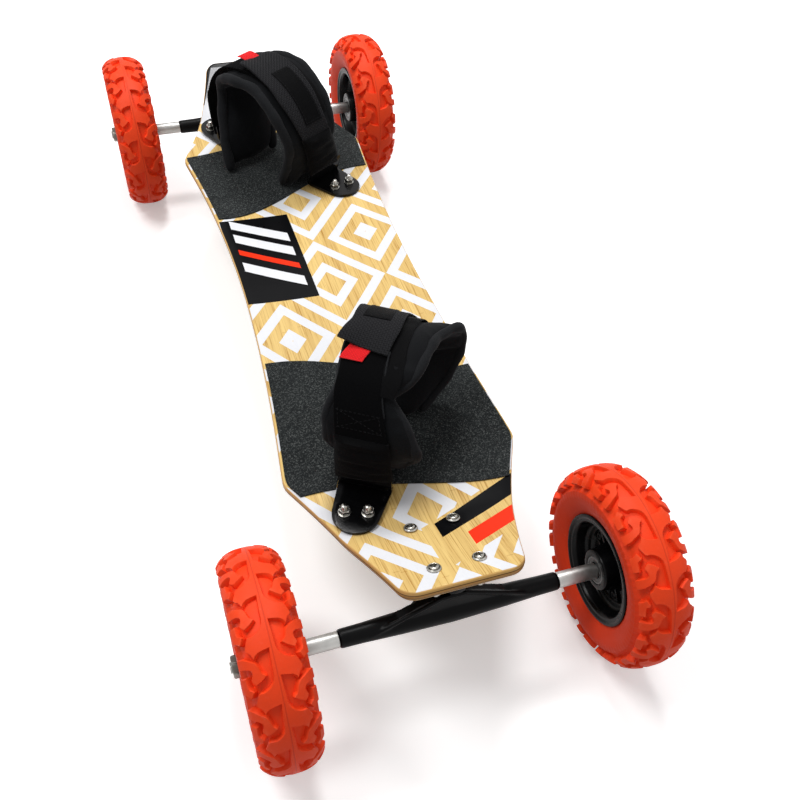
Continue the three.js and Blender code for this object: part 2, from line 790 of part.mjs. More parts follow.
// From a truck's own frame to the board's.
function truckFrame(end) {
  const turn = new THREE.Matrix4().makeRotationZ(end === "front" ? Math.PI : 0);
  const place = new THREE.Matrix4().makeTranslation(0, truckDistance, mountHeight);
  return turn.multiply(place).multiply(new THREE.Matrix4().makeRotationX(tipTurn));
}

function truckBoltPlaces() {
  const places = [];
  for (const y of [-0.5, 0.5]) for (const x of [-0.5, 0.5]) places.push([x * boltSpacingAcross, y * boltSpacingAlong]);
  return places;
}

const cupRadius = pivotBallRadius + swingRoom / 2 + cupWall;

function truckBase() {
  const shape = new THREE.Shape();
  const [w, l, r] = [baseWidth / 2, baseLength / 2, baseCornerRadius];
  shape.moveTo(-w + r, -l);
  shape.lineTo(w - r, -l).absarc(w - r, -l + r, r, -Math.PI / 2, 0);
  shape.lineTo(w, l - r).absarc(w - r, l - r, r, 0, Math.PI / 2);
  shape.lineTo(-w + r, l).absarc(-w + r, l - r, r, Math.PI / 2, Math.PI);
  shape.lineTo(-w, -l + r).absarc(-w + r, -l + r, r, Math.PI, 1.5 * Math.PI);
  const plate = extrude(shape, -baseThickness, 0);
  const bossTop = -pivotDrop;
  const pivotBoss = moved(rod(bossTop, pivotBossDepth - pivotDrop, pivotBossRadius, barSides), pivotFrame);
  const kingpinBoss = moved(
    turned(
      [
        [-ringDrop, 0],
        [-ringDrop, kingpinBossRadius + baseThickness / 2],
        [-bushingSeat, kingpinBossRadius],
        [-bushingSeat, 0],
      ],
      barSides,
    ),
    kingpinFrame,
  );
  const above = extrude([[-w - r, -l - r], [w + r, -l - r], [w + r, l + r], [-w - r, l + r]], 0, ringDrop);
  const cupBore = moved(
    rod(-cupDepthAbove - clearance, pivotBossDepth, around(cupRadius + clearance, boreSides), boreSides),
    pivotFrame,
  );
  const pinBore = moved(rod(-2 * ringDrop, 0, around(kingpinRadius + clearance, boltSides), boltSides), kingpinFrame);
  const headBore = moved(
    rod(-2 * ringDrop, kingpinSeat + clearance, around(kingpinHeadRadius + clearance, boreSides), boreSides),
    kingpinFrame,
  );
  let base = union(plate, pivotBoss, kingpinBoss).subtract(above);
  for (const [x, y] of truckBoltPlaces()) {
    const hole = rod(-baseThickness - overrun, overrun, around(boltHoleRadius, boltSides), boltSides);
    base = base.subtract(moved(hole, new THREE.Matrix4().makeTranslation(x, y, 0)));
  }
  return base.subtract(cupBore).subtract(pinBore).subtract(headBore);
}

// The kingpin's head is let into the base's top; it lies under the tip along the kingpin's own line.
const kingpinSeat = -(ringDrop - baseThickness) / Math.cos(radians(kingpinTilt)) + kingpinHeadRadius * 0.2;

function kingpin() {
  const end = ringThickness / 2 + lowerBushingHeight + kingpinWasherThickness + kingpinNutHeight
    + kingpinEndBeyondNut + 3 * clearance;
  const body = turned(
    [
      [kingpinSeat - kingpinHeadHeight, 0],
      [kingpinSeat - kingpinHeadHeight, kingpinHeadRadius],
      [kingpinSeat, kingpinHeadRadius],
      [kingpinSeat, kingpinRadius],
      [end - 1.5 * clearance, kingpinRadius],
      [end, kingpinRadius * 0.8],
      [end, 0],
    ],
    boltSides,
  );
  const wide = 4 * ringDrop;
  const above = extrude([[-wide, -wide], [wide, -wide], [wide, wide], [-wide, wide]], -clearance, wide);
  return moved(body, kingpinFrame).subtract(above);
}

const lowerBushingStart = ringThickness / 2 + clearance;
const nutStart = lowerBushingStart + lowerBushingHeight + clearance;

function kingpinNut() {
  const bore = around(kingpinRadius + clearance, boltSides);
  const washer = rod(nutStart, nutStart + kingpinWasherThickness, kingpinWasherRadius, boreSides);
  const nut = rod(nutStart, nutStart + kingpinWasherThickness + kingpinNutHeight, kingpinNutRadius, nutSides);
  const cut = rod(nutStart - overrun, nutStart + kingpinNutHeight + 2 * overrun, bore, boltSides);
  return moved(washer.add(nut).subtract(cut), kingpinFrame);
}

function bushing(from, to, radiusFrom, radiusTo) {
  const bore = around(kingpinRadius + clearance, boltSides);
  const waistShare = 0.88;
  const middle = lerp(from, to, 0.5);
  return moved(
    turned(
      [
        [from, bore],
        [from, radiusFrom],
        [middle, lerp(radiusFrom, radiusTo, 0.5) * waistShare],
        [to, radiusTo],
        [to, bore],
      ],
      barSides,
    ),
    kingpinFrame,
  );
}

function pivotCup() {
  const inside = cupRadius - cupWall;
  return moved(
    turned(
      [
        [-cupDepthAbove, 0],
        [-cupDepthAbove, cupRadius],
        [cupMouthBelow, cupRadius],
        [cupMouthBelow, inside],
        [-inside * 0.75, inside],
        [-inside - clearance, inside * 0.4],
        [-inside - clearance, 0],
      ],
      boreSides,
    ),
    pivotFrame,
  );
}

function hanger() {
  const bar = moved(
    revolve(
      [
        [-hangerHalfLength, 0],
        [-hangerHalfLength, hangerEndRadius - hangerEndChamfer],
        [-hangerHalfLength + hangerEndChamfer, hangerEndRadius],
        [-faceWebFoot, hangerEndRadius],
        [0, hangerMidRadius],
        [faceWebFoot, hangerEndRadius],
        [hangerHalfLength - hangerEndChamfer, hangerEndRadius],
        [hangerHalfLength, hangerEndRadius - hangerEndChamfer],
        [hangerHalfLength, 0],
      ],
      barSides,
    ),
    new THREE.Matrix4().makeTranslation(axlePoint.x, axlePoint.y, axlePoint.z),
  );
  // A flat web that narrows from the bar to what it carries.
  const web = (toward, rise, foot, top, thickness, topThickness) => {
    const upward = toward.clone().sub(axlePoint).normalize();
    const square = vec(1, 0, 0).cross(upward);
    const points = [];
    for (const [height, half, thick] of [
      [-hangerEndRadius / 3, foot, thickness],
      [rise, top, topThickness],
    ]) {
      for (const x of [-half, half]) {
        for (const side of [-0.5, 0.5]) {
          points.push(axlePoint.clone().addScaledVector(upward, height).addScaledVector(square, side * thick).setX(x));
        }
      }
    }
    return toSolid(new ConvexGeometry(points));
  };
  const faceWeb = web(pivotPoint, faceWebRise, faceWebFoot, faceWebTop, 1.4 * faceWebThickness, faceWebThickness);
  const ringReach = ringPoint.distanceTo(axlePoint);
  const ringWeb = web(ringPoint, ringReach - ringRadius / 2, ringWebFoot, ringWebTop, ringWebThickness, ringThickness);
  const ring = moved(rod(-ringThickness / 2, ringThickness / 2, ringRadius, barSides), kingpinFrame);
  const stem = moved(
    turned(
      [
        [-pivotBallRadius, 0],
        [-pivotBallRadius * 0.75, pivotBallRadius * 0.66],
        [0, pivotBallRadius],
        [pivotBallRadius * 0.6, pivotStemRadius],
        [pivotBossDepth / 2, pivotStemRadius],
        [truckHeight - pivotDrop - faceWebRise + overrun, faceWebThickness * 0.65],
        [truckHeight - pivotDrop - faceWebRise + overrun, 0],
      ],
      boreSides,
    ),
    pivotFrame,
  );
  const ringBore = moved(rod(-2 * ringThickness, 2 * ringThickness, ringBoreRadius, boreSides), kingpinFrame);
  const bore = revolve(
    [
      [-hangerHalfLength - overrun, 0],
      [-hangerHalfLength - overrun, around(axleRadius + clearance, boreSides)],
      [hangerHalfLength + overrun, around(axleRadius + clearance, boreSides)],
      [hangerHalfLength + overrun, 0],
    ],
    boreSides,
  );
  const upperRoom = rod(-bushingSeat, -ringThickness / 2, upperBushingRadius + swingRoom, barSides);
  const lowerRoom = rod(ringThickness / 2, truckHeight, lowerBushingRadius + swingRoom, barSides);
  const place = new THREE.Matrix4().makeTranslation(axlePoint.x, axlePoint.y, axlePoint.z);
  return union(bar, faceWeb, ringWeb, ring, stem)
    .subtract(ringBore)
    .subtract(moved(upperRoom, kingpinFrame))
    .subtract(moved(lowerRoom, kingpinFrame))
    .subtract(moved(bore, place));
}

const bearingOuterFace = hubHalfWidth - clearance;
const spacerEnd = halfTrack - bearingOuterFace - clearance;
const washerStart = halfTrack + bearingOuterFace + clearance;
const nutEnd = washerStart + axleWasherThickness + axleNutHeight;

function axle() {
  const end = nutEnd + axleEndBeyondNut;
  return revolve(
    [
      [-end, 0],
      [-end, axleThreadRadius],
      [-washerStart, axleThreadRadius],
      [-washerStart, axleRadius],
      [washerStart, axleRadius],
      [washerStart, axleThreadRadius],
      [end, axleThreadRadius],
      [end, 0],
    ],
    boreSides,
  );
}

function axleSpacer(side) {
  const bore = around(axleRadius + clearance, boreSides);
  return revolve(
    [
      [side * (hangerHalfLength + clearance), bore],
      [side * (hangerHalfLength + clearance), spacerRadius],
      [side * spacerEnd, spacerRadius],
      [side * spacerEnd, bore],
    ],
    boreSides,
  );
}

function axleNut(side) {
  const bore = around(axleThreadRadius + clearance, boreSides);
  const washer = revolve(
    [
      [side * washerStart, 0],
      [side * washerStart, axleWasherRadius],
      [side * (washerStart + axleWasherThickness), axleWasherRadius],
      [side * (washerStart + axleWasherThickness), 0],
    ],
    boreSides,
  );
  const chamfer = axleNutHeight / 8;
  const nut = revolve(
    [
      [side * washerStart, 0],
      [side * washerStart, axleNutRadius],
      [side * (nutEnd - chamfer), axleNutRadius],
      [side * nutEnd, axleNutRadius - chamfer],
      [side * nutEnd, 0],
    ],
    nutSides,
  );
  const cut = revolve(
    [
      [side * (washerStart - overrun), 0],
      [side * (washerStart - overrun), bore],
      [side * (nutEnd + overrun), bore],
      [side * (nutEnd + overrun), 0],
    ],
    boreSides,
  );
  return washer.add(nut).subtract(cut);
}

function truckBolt(depth) {
  const nutTop = -depth - clearance;
  const end = nutTop - boltNutHeight - boltEndBeyondNut;
  const body = turned(
    [
      [end, 0],
      [end, boltRadius],
      [clearance, boltRadius],
      [clearance, boltHeadRadius],
      [clearance + boltHeadHeight * 0.45, boltHeadRadius * 0.95],
      [clearance + boltHeadHeight, boltHeadRadius * 0.55],
      [clearance + boltHeadHeight, 0],
    ],
    boltSides,
  );
  return body.add(rod(nutTop - boltNutHeight, nutTop, boltNutRadius, nutSides));
}

// Height of the tip's top above its underside's plane, at a distance along the truck.
function tipTopAt(y) {
  let distance = truckDistance + y * Math.cos(tipTurn);
  let height = deckThickness;
  for (let i = 0; i < 3; i++) {
    height = (deckTop(0, distance) - mountHeight - y * Math.sin(tipTurn)) / Math.cos(tipTurn);
    distance = truckDistance + y * Math.cos(tipTurn) - height * Math.sin(tipTurn);
  }
  return height;
}

function addTruck(root, end) {
  const truck = new THREE.Group();
  truck.applyMatrix4(truckFrame(end));
  root.add(truck);

  truck.add(
    part(`${end}_truck_base`, truckBase(), "blackCast"),
    part(`${end}_kingpin`, kingpin(), "steel"),
    part(`${end}_kingpin_nut`, kingpinNut(), "steel"),
    part(
      `${end}_upper_bushing`,
      bushing(-bushingSeat + clearance, -ringThickness / 2 - clearance, upperBushingRadius, upperBushingRadius),
      "urethane",
    ),
    part(
      `${end}_lower_bushing`,
      bushing(lowerBushingStart, lowerBushingStart + lowerBushingHeight, lowerBushingRadius, lowerBushingTipRadius),
      "urethane",
    ),
    part(`${end}_pivot_cup`, pivotCup(), "urethane"),
    part(`${end}_hanger`, hanger(), "blackCast"),
  );
  truckBoltPlaces().forEach(([x, y], i) => {
    const height = Math.max(...[-1, 0, 1].map((share) => tipTopAt(y + share * boltHeadRadius)));
    const bolt = part(`${end}_truck_bolt_${i + 1}`, truckBolt(height + baseThickness), "steel");
    bolt.position.set(x, y, height);
    truck.add(bolt);
  });

  const across = new THREE.Group();
  across.position.copy(axlePoint);
  truck.add(across);
  across.add(part(`${end}_axle`, axle(), "steel"));
  const outwardIsRight = end === "rear" ? 1 : -1;
  for (const [name, side] of [
    ["left", -1],
    ["right", 1],
  ]) {
    across.add(
      part(`${end}_${name}_axle_spacer`, axleSpacer(side * outwardIsRight), "steel"),
      part(`${end}_${name}_axle_nut`, axleNut(side * outwardIsRight), "steel"),
    );
  }
}

// Wheels, each about its own X axis with its outer face toward +X

// Half of the tyre's section, from the centre band over the tread and the bead into the air space: where
// each point stands on a lug, where it drops to beside one, and how far the lug's wall leans round the tyre
// there, as a share of the pitch. The leans give the lugs their hooked form.
function tyreSection() {
  const wall = casingThickness + treadDepth;
  const crown = [0.5 * tyreHalfWidth, 0.985 * tyreRadius];
  const shoulder = [tyreHalfWidth, 0.85 * tyreRadius];
  const foot = [0.93 * tyreHalfWidth, 0.745 * tyreRadius];
  const bore = around(beadRadius + clearance, treadPitches * lugTurns.length);
  const smooth = (x, r) => ({ lug: [x, r], pocket: [x, r], lean: 0 });
  return [
    smooth(centreBandHalfWidth, tyreRadius),
    { lug: crown, pocket: [crown[0], crown[1] - treadDepth], lean: 0.14 },
    { lug: shoulder, pocket: [shoulder[0] - treadDepth * 0.8, shoulder[1] - treadDepth / 3], lean: -0.08 },
    { lug: foot, pocket: [foot[0] - clearance, foot[1] - treadDepth], lean: 0.06 },
    smooth(beadHalfWidth, rimFlangeRadius + clearance),
    smooth(beadHalfWidth, bore),
    smooth(beadHalfWidth - casingThickness, bore),
    smooth(tyreHalfWidth - wall * 0.8, 0.78 * tyreRadius),
    smooth(0.4 * tyreHalfWidth, tyreRadius - wall),
  ];
}

// Where the walls of the lugs start and end, as shares of a pitch, and the side whose lugs stand there.
const lugTurns = [
  { share: 0, side: -1 },
  { share: 0.06, side: 1 },
  { share: 0.5, side: 1 },
  { share: 0.56, side: -1 },
];

// The tyre is one skin drawn round through a ring of sections, so that each lug is part of it.
function tyre() {
  const half = tyreSection();
  const pitch = (2 * Math.PI) / treadPitches;
  const points = [];
  for (let lug = 0; lug < treadPitches; lug++) {
    for (const { share, side } of lugTurns) {
      const spot = (entry, at) => {
        const [x, r] = at === side ? entry.lug : entry.pocket;
        const turn = (lug + share + entry.lean) * pitch;
        return vec(at * x, r * Math.sin(turn), -r * Math.cos(turn));
      };
      points.push(...half.map((entry) => spot(entry, 1)), ...half.map((entry) => spot(entry, -1)).reverse());
    }
  }
  const count = 2 * half.length;
  const total = points.length;
  const faces = [];
  for (let start = 0; start < total; start += count) {
    for (let i = 0; i < count; i++) {
      const a = start + i;
      const b = start + ((i + 1) % count);
      const [c, d] = [(b + count) % total, (a + count) % total];
      faces.push(a, b, c, a, c, d);
    }
  }
  const geometry = new THREE.BufferGeometry().setFromPoints(points);
  geometry.setIndex(faces);
  return toSolid(geometry);
}

function rim() {
  const seat = beadRadius;
  const barrel = seat - rimWall;
  const flange = beadHalfWidth + clearance + rimLip;
  const step = 0.55 * barrel + 0.45 * hubRadius;
  const half = [
    [beadHalfWidth + clearance, seat],
    [beadHalfWidth + clearance, rimFlangeRadius],
    [flange, rimFlangeRadius],
    [flange, barrel],
    [rimWebThickness / 2, step],
    [rimWebThickness / 2, hubRadius + rimLip],
    [hubHalfWidth, hubRadius],
    [hubHalfWidth, around(bearingRadius + clearance, rimSides)],
    [hubHalfWidth - bearingWidth - clearance, around(bearingRadius + clearance, rimSides)],
    [hubHalfWidth - bearingWidth - clearance, bearingRadius - bearingLip],
  ];
  const outline = [...half, ...half.map(([x, r]) => [-x, r]).reverse()];
  let body = revolve(outline, rimSides);
  for (let i = 0; i < 5; i++) {
    const turn = (i * 2 * Math.PI) / 5;
    const reach = rimWebThickness / 2 + rimBoltHeight;
    const bolt = revolve([[0, 0], [0, rimBoltRadius], [reach, rimBoltRadius], [reach, 0]], nutSides);
    const place = new THREE.Matrix4().makeTranslation(0, rimBoltCircle * Math.cos(turn), rimBoltCircle * Math.sin(turn));
    body = body.add(moved(bolt, place));
  }
  return body;
}

function bearings() {
  const bore = around(axleRadius + clearance, boreSides);
  const inner = hubHalfWidth - bearingWidth;
  const raceRadius = bearingRadius - bearingLip - clearance;
  return revolve(
    [
      [-bearingOuterFace, bore],
      [-bearingOuterFace, bearingRadius],
      [-inner, bearingRadius],
      [-inner, raceRadius - clearance],
      [-inner + bearingLip, sleeveRadius],
      [inner - bearingLip, sleeveRadius],
      [inner, raceRadius - clearance],
      [inner, bearingRadius],
      [bearingOuterFace, bearingRadius],
      [bearingOuterFace, bore],
    ],
    barSides,
  );
}

function addWheels(root) {
  const tyreGeometry = toGeometry(tyre());
  for (const [end, y] of [
    ["front", -axleDistance],
    ["rear", axleDistance],
  ]) {
    for (const [name, side] of [
      ["left", -1],
      ["right", 1],
    ]) {
      const wheel = new THREE.Group();
      wheel.position.set(side * halfTrack, y, axleHeight);
      wheel.rotation.z = side > 0 ? 0 : Math.PI;
      const casing = part(`${end}_${name}_tyre`, toSolid(tyreGeometry), "tyreRubber");
      wheel.add(
        casing,
        part(`${end}_${name}_rim`, rim(), "rimPlastic"),
        part(`${end}_${name}_bearings`, bearings(), "steel"),
      );
      root.add(wheel);
    }
  }
}

// The deck with its bolt holes

function drilledDeck(blank) {
  let deck = blank;
  const drill = rod(-2 * deckThickness, 2 * deckThickness, around(boltHoleRadius, boltSides), boltSides);
  for (const end of ["front", "rear"]) {
    const frames = truckBoltPlaces().map(([x, y]) =>
      truckFrame(end).multiply(new THREE.Matrix4().makeTranslation(x, y, 0)),
    );
    for (const side of [-1, 1]) frames.push(...plateBoltFrames(plateSeat(bindingFrame(end), side)));
    for (const frame of frames) deck = deck.subtract(moved(drill, frame));
  }
  return deck;
}

const board = new THREE.Group();
board.name = "mountainboard";
const blank = deckBody();
board.add(part("deck", drilledDeck(blank), "bamboo"));
for (const end of ["front", "rear"]) {
  board.add(part(`${end}_grip_sheet`, gripSheet(end, blank), "grip"));
  addBinding(board, end);
  addTruck(board, end);
}
addWheels(board);

export default board;
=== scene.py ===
import json
import math

import bmesh
import bpy
import numpy as np
from mathutils import Matrix, Vector
from mathutils.geometry import delaunay_2d_cdt

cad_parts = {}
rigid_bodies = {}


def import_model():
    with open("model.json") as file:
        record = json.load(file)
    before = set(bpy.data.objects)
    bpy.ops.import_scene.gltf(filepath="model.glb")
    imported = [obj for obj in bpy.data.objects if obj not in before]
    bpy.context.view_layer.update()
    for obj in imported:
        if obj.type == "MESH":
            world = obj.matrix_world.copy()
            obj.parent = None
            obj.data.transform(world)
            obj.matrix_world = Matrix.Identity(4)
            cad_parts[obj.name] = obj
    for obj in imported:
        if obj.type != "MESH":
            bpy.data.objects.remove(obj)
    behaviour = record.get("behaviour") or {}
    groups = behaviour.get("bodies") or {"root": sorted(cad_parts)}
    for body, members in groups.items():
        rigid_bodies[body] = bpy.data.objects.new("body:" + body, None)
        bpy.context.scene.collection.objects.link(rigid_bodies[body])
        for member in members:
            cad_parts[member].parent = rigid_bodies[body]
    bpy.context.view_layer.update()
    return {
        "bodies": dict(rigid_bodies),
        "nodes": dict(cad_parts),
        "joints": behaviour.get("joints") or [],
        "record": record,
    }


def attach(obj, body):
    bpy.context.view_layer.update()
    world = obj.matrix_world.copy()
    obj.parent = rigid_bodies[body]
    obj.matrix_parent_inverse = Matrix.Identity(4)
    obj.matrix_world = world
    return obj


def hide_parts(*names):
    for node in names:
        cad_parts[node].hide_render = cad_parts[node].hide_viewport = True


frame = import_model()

# A mountainboard: ply deck, sprung trucks, knobbly tyres and padded foot bindings.
# Lengths in the dictionaries are millimetres, and every mesh is made in metres.
mm = 0.001


def spread(low, high, count):
    # count + 1 even steps from low to high
    return [low + (high - low) * i / count for i in range(count + 1)]


def addObject(name, mesh):
    obj = bpy.data.objects.new(name, mesh)
    bpy.context.scene.collection.objects.link(obj)
    return obj


def makeObject(name, points, faces, edges=()):
    mesh = bpy.data.meshes.new(name)
    mesh.from_pydata([tuple(p) for p in points], edges, faces)
    mesh.validate()
    return addObject(name, mesh)


def objectFrom(work, name):
    # work is a bmesh, used up here
    mesh = bpy.data.meshes.new(name)
    work.to_mesh(mesh)
    work.free()
    return addObject(name, mesh)


def tidyMesh(obj, mergeWithin=1e-6):
    work = bmesh.new()
    work.from_mesh(obj.data)
    if mergeWithin:
        bmesh.ops.remove_doubles(work, verts=work.verts, dist=mergeWithin)
    bmesh.ops.recalc_face_normals(work, faces=work.faces)
    work.to_mesh(obj.data)
    work.free()
    return obj


def smoothShade(obj, degrees=35):
    obj.data.shade_smooth()
    obj.data.set_sharp_from_angle(angle=math.radians(degrees))
    return obj


def applyAll(obj):
    # what the modifiers make becomes the plain mesh
    graph = bpy.context.evaluated_depsgraph_get()
    done = bpy.data.meshes.new_from_object(obj.evaluated_get(graph), depsgraph=graph)
    obj.modifiers.clear()
    old, obj.data = obj.data, done
    bpy.data.meshes.remove(old)
    return obj


def removeShape(obj):
    mesh = obj.data
    bpy.data.objects.remove(obj)
    bpy.data.meshes.remove(mesh)


def joinAll(name, pieces):
    work = bmesh.new()
    for piece in pieces:
        work.from_mesh(piece.data)
        removeShape(piece)
    return objectFrom(work, name)


def copyShape(name, obj, matrix=Matrix.Identity(4)):
    mesh = obj.data.copy()
    mesh.transform(matrix)
    return addObject(name, mesh)


def moveTo(obj, place):
    # place is a frame whose origin is in mm
    scaled = place.copy()
    scaled.translation = scaled.translation * mm
    obj.data.transform(scaled)
    return obj


def gridFaces(rows, columns, closed=False):
    # quads between rows of points, and round each row when it is closed
    across = columns if closed else columns - 1
    return [(r * columns + i, r * columns + (i + 1) % columns,
             (r + 1) * columns + (i + 1) % columns, (r + 1) * columns + i)
            for r in range(rows - 1) for i in range(across)]


def endFaces(rows, columns):
    return [tuple(range(columns))[::-1], tuple(range((rows - 1) * columns, rows * columns))]


def ringStack(name, rings, capped=True):
    # a skin over closed loops of equal length
    count = len(rings[0])
    faces = gridFaces(len(rings), count, True)
    if capped:
        faces += endFaces(len(rings), count)
    return tidyMesh(makeObject(name, [p for ring in rings for p in ring], faces))


def polar(radius, angle, along=0.0):
    return Vector((radius * math.cos(angle), radius * math.sin(angle), along))


def aroundSteps(count):
    return spread(0, 2 * math.pi, count)[:-1]


def circle(along, radius, count):
    return [polar(radius, angle, along) * mm for angle in aroundSteps(count)]


def roundedProfile(points, radius, steps=3):
    # rounds the corners of an open profile
    out = [points[0]]
    for before, here, after in zip(points, points[1:], points[2:]):
        a, b, c = Vector(before), Vector(here), Vector(after)
        back, ahead = a - b, c - b
        reach = min(radius, back.length * 0.45, ahead.length * 0.45)
        if reach < 0.02:
            out.append(here)
            continue
        start, end = b + back.normalized() * reach, b + ahead.normalized() * reach
        for t in spread(0, 1, steps):
            out.append(tuple(start * (1 - t) ** 2 + b * (2 * t * (1 - t)) + end * t ** 2))
    return out + [points[-1]]


def latheShape(name, profile, count, place=None, rounding=None):
    # profile: (along the axis, radius) in mm, turned about local Z
    if rounding:
        profile = roundedProfile(profile, *rounding)
    obj = ringStack(name, [circle(along, radius, count) for along, radius in profile])
    return moveTo(obj, place) if place else obj


def hullShape(name, points):
    work = bmesh.new()
    for p in points:
        work.verts.new(p)
    inner = bmesh.ops.convex_hull(work, input=work.verts)["geom_interior"]
    inner = list({e for e in inner if isinstance(e, bmesh.types.BMVert)})
    bmesh.ops.delete(work, geom=inner, context="VERTS")
    bmesh.ops.recalc_face_normals(work, faces=work.faces)
    return objectFrom(work, name)


def placePiece(obj, material, body, nodes=()):
    if not obj.data.materials:
        obj.data.materials.append(material)
    else:
        obj.data.materials[0] = material
    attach(obj, body)
    if nodes:
        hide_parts(*nodes)
    return obj


def axisFrame(origin, direction):
    turn = Vector((0, 0, 1)).rotation_difference(Vector(direction).normalized())
    return Matrix.Translation(Vector(origin)) @ turn.to_matrix().to_4x4()


def smoothStep(value, low, high):
    t = min(max((value - low) / (high - low), 0), 1)
    return t * t * (3 - 2 * t)


def linear(r, g, b):
    shares = [c / 255 for c in (r, g, b)]
    return (*(c / 12.92 if c <= 0.04045 else ((c + 0.055) / 1.055) ** 2.4 for c in shares), 1.0)


def feed(sockets, values):
    # each value goes into its socket, as a link or as a plain value
    for key, value in values.items():
        value = getattr(value, "socket", value)
        if isinstance(value, bpy.types.NodeSocket):
            sockets[key].id_data.links.new(value, sockets[key])
        else:
            sockets[key].default_value = value


def addNode(tree, kind, values=None, **settings):
    node = tree.nodes.new(kind)
    for key, value in settings.items():
        setattr(node, key, value)
    feed(node.inputs, values or {})
    return node


class Signal:
    # what one node hands to the next, so that a formula reads as one; | is the larger of two
    def __init__(self, socket):
        self.socket, self.tree = socket, socket.id_data

    def math(self, operation, *others):
        return mathNode(self.tree, operation, self, *others)

    def ramp(self, low, high, start=0.0, stop=1.0, smooth=True):
        limits = {"Value": self, "From Min": low, "From Max": high, "To Min": start, "To Max": stop}
        kind = "SMOOTHSTEP" if smooth else "LINEAR"
        return Signal(addNode(self.tree, "ShaderNodeMapRange", limits, interpolation_type=kind).outputs["Result"])

    def split(self):
        return [Signal(s) for s in addNode(self.tree, "ShaderNodeSeparateXYZ", {0: self}).outputs]

    def gray(self):
        return addNode(self.tree, "ShaderNodeCombineColor", {0: self, 1: self, 2: self}).outputs[0]

    __add__ = __radd__ = lambda self, other: self.math("ADD", other)
    __mul__ = __rmul__ = lambda self, other: self.math("MULTIPLY", other)
    __sub__ = lambda self, other: self.math("SUBTRACT", other)
    __rsub__ = lambda self, other: mathNode(self.tree, "SUBTRACT", other, self)
    __truediv__ = lambda self, other: self.math("DIVIDE", other)
    __rtruediv__ = lambda self, other: mathNode(self.tree, "DIVIDE", other, self)
    __mod__ = lambda self, other: self.math("MODULO", other)
    __or__ = lambda self, other: self.math("MAXIMUM", other)
    __lt__ = lambda self, other: self.math("LESS_THAN", other)
    __gt__ = lambda self, other: self.math("GREATER_THAN", other)
    __abs__ = lambda self: self.math("ABSOLUTE")


def mathNode(tree, operation, *values):
    return Signal(addNode(tree, "ShaderNodeMath", dict(enumerate(values)), operation=operation).outputs[0])


def between(value, low, high):
    return (value > low) * (value < high)


def combineNode(tree, *values):
    return addNode(tree, "ShaderNodeCombineXYZ", dict(enumerate(values))).outputs[0]


def stretched(tree, vector, factors):
    return addNode(tree, "ShaderNodeVectorMath", {0: vector, 1: factors}, operation="MULTIPLY").outputs[0]


def mixColor(tree, factor, a, b, blend="MIX"):
    return addNode(tree, "ShaderNodeMix", {0: factor, 6: a, 7: b}, data_type="RGBA", blend_type=blend).outputs[2]


def noiseNode(tree, vector, scale, detail=3.0, roughness=0.55, distortion=0.0):
    return Signal(addNode(tree, "ShaderNodeTexNoise", {
        "Vector": vector, "Scale": scale, "Detail": detail, "Roughness": roughness,
        "Distortion": distortion}).outputs["Fac"])


def bumpFrom(height, distance, strength):
    values = {"Height": height, "Distance": distance, "Strength": strength}
    return addNode(height.tree, "ShaderNodeBump", values).outputs["Normal"]


def newGroup(name, kind, inputs, outputs):
    # each input has a start value, or only the name of its kind
    tree = bpy.data.node_groups.new(name, kind)
    for title, value in inputs.items():
        plain = isinstance(value, str)
        kindName = value if plain else {float: "Float", int: "Int", tuple: "Color"}[type(value)]
        socket = tree.interface.new_socket(name=title, in_out="INPUT", socket_type="NodeSocket" + kindName)
        if not plain:
            socket.default_value = value
    for title, kindName in outputs.items():
        tree.interface.new_socket(name=title, in_out="OUTPUT", socket_type="NodeSocket" + kindName)
    given = {socket.name: Signal(socket) for socket in tree.nodes.new("NodeGroupInput").outputs}
    return tree, given, tree.nodes.new("NodeGroupOutput").inputs


def fillGroup(tree, group, values):
    node = addNode(tree, "ShaderNodeGroup", None, node_tree=group)
    feed(node.inputs, values)
    return {socket.name: Signal(socket) for socket in node.outputs}


def runNodes(obj, tree, values):
    modifier = obj.modifiers.new(tree.name, "NODES")
    modifier.node_group = tree
    for item in tree.interface.items_tree:
        if item.name in values:
            modifier[item.identifier] = values[item.name]
    return applyAll(obj)


def newMaterial(name, settings):
    # settings go straight on the shader's own sockets
    material = bpy.data.materials.new(name)
    material.use_nodes = True
    tree = material.node_tree
    shader = tree.nodes["Principled BSDF"].inputs
    feed(shader, settings)
    return material, tree, shader, Signal(addNode(tree, "ShaderNodeTexCoord").outputs["Object"])


def makeSurfaceWear():
    # fine and broad mottling of a colour, with scuffs on the raised edges
    tree, given, out = newGroup("surfaceWear", "ShaderNodeTree", {
        "Vector": "Vector", "Base": (0.5, 0.5, 0.5, 1.0), "Worn": (0.8, 0.8, 0.8, 1.0),
        "Scale": 60.0, "Mottle": 0.1, "Edge": 0.3}, {"Color": "Color", "Rough": "Float"})
    broad = noiseNode(tree, given["Vector"], given["Scale"], 4)
    fine = noiseNode(tree, given["Vector"], given["Scale"] * 14.0, 2)
    shade = (broad - 0.5) * given["Mottle"] + 1.0 + (fine - 0.5) * (given["Mottle"] * 0.6)
    tinted = mixColor(tree, 1.0, given["Base"], shade.gray(), "MULTIPLY")
    raised = Signal(addNode(tree, "ShaderNodeNewGeometry").outputs["Pointiness"]).ramp(0.52, 0.62)
    edge = raised * (given["Edge"] * broad.ramp(0.4, 0.62))
    feed(out, {"Color": mixColor(tree, edge, tinted, given["Worn"]), "Rough": (broad - 0.5) * 0.35 + 0.5})
    return tree


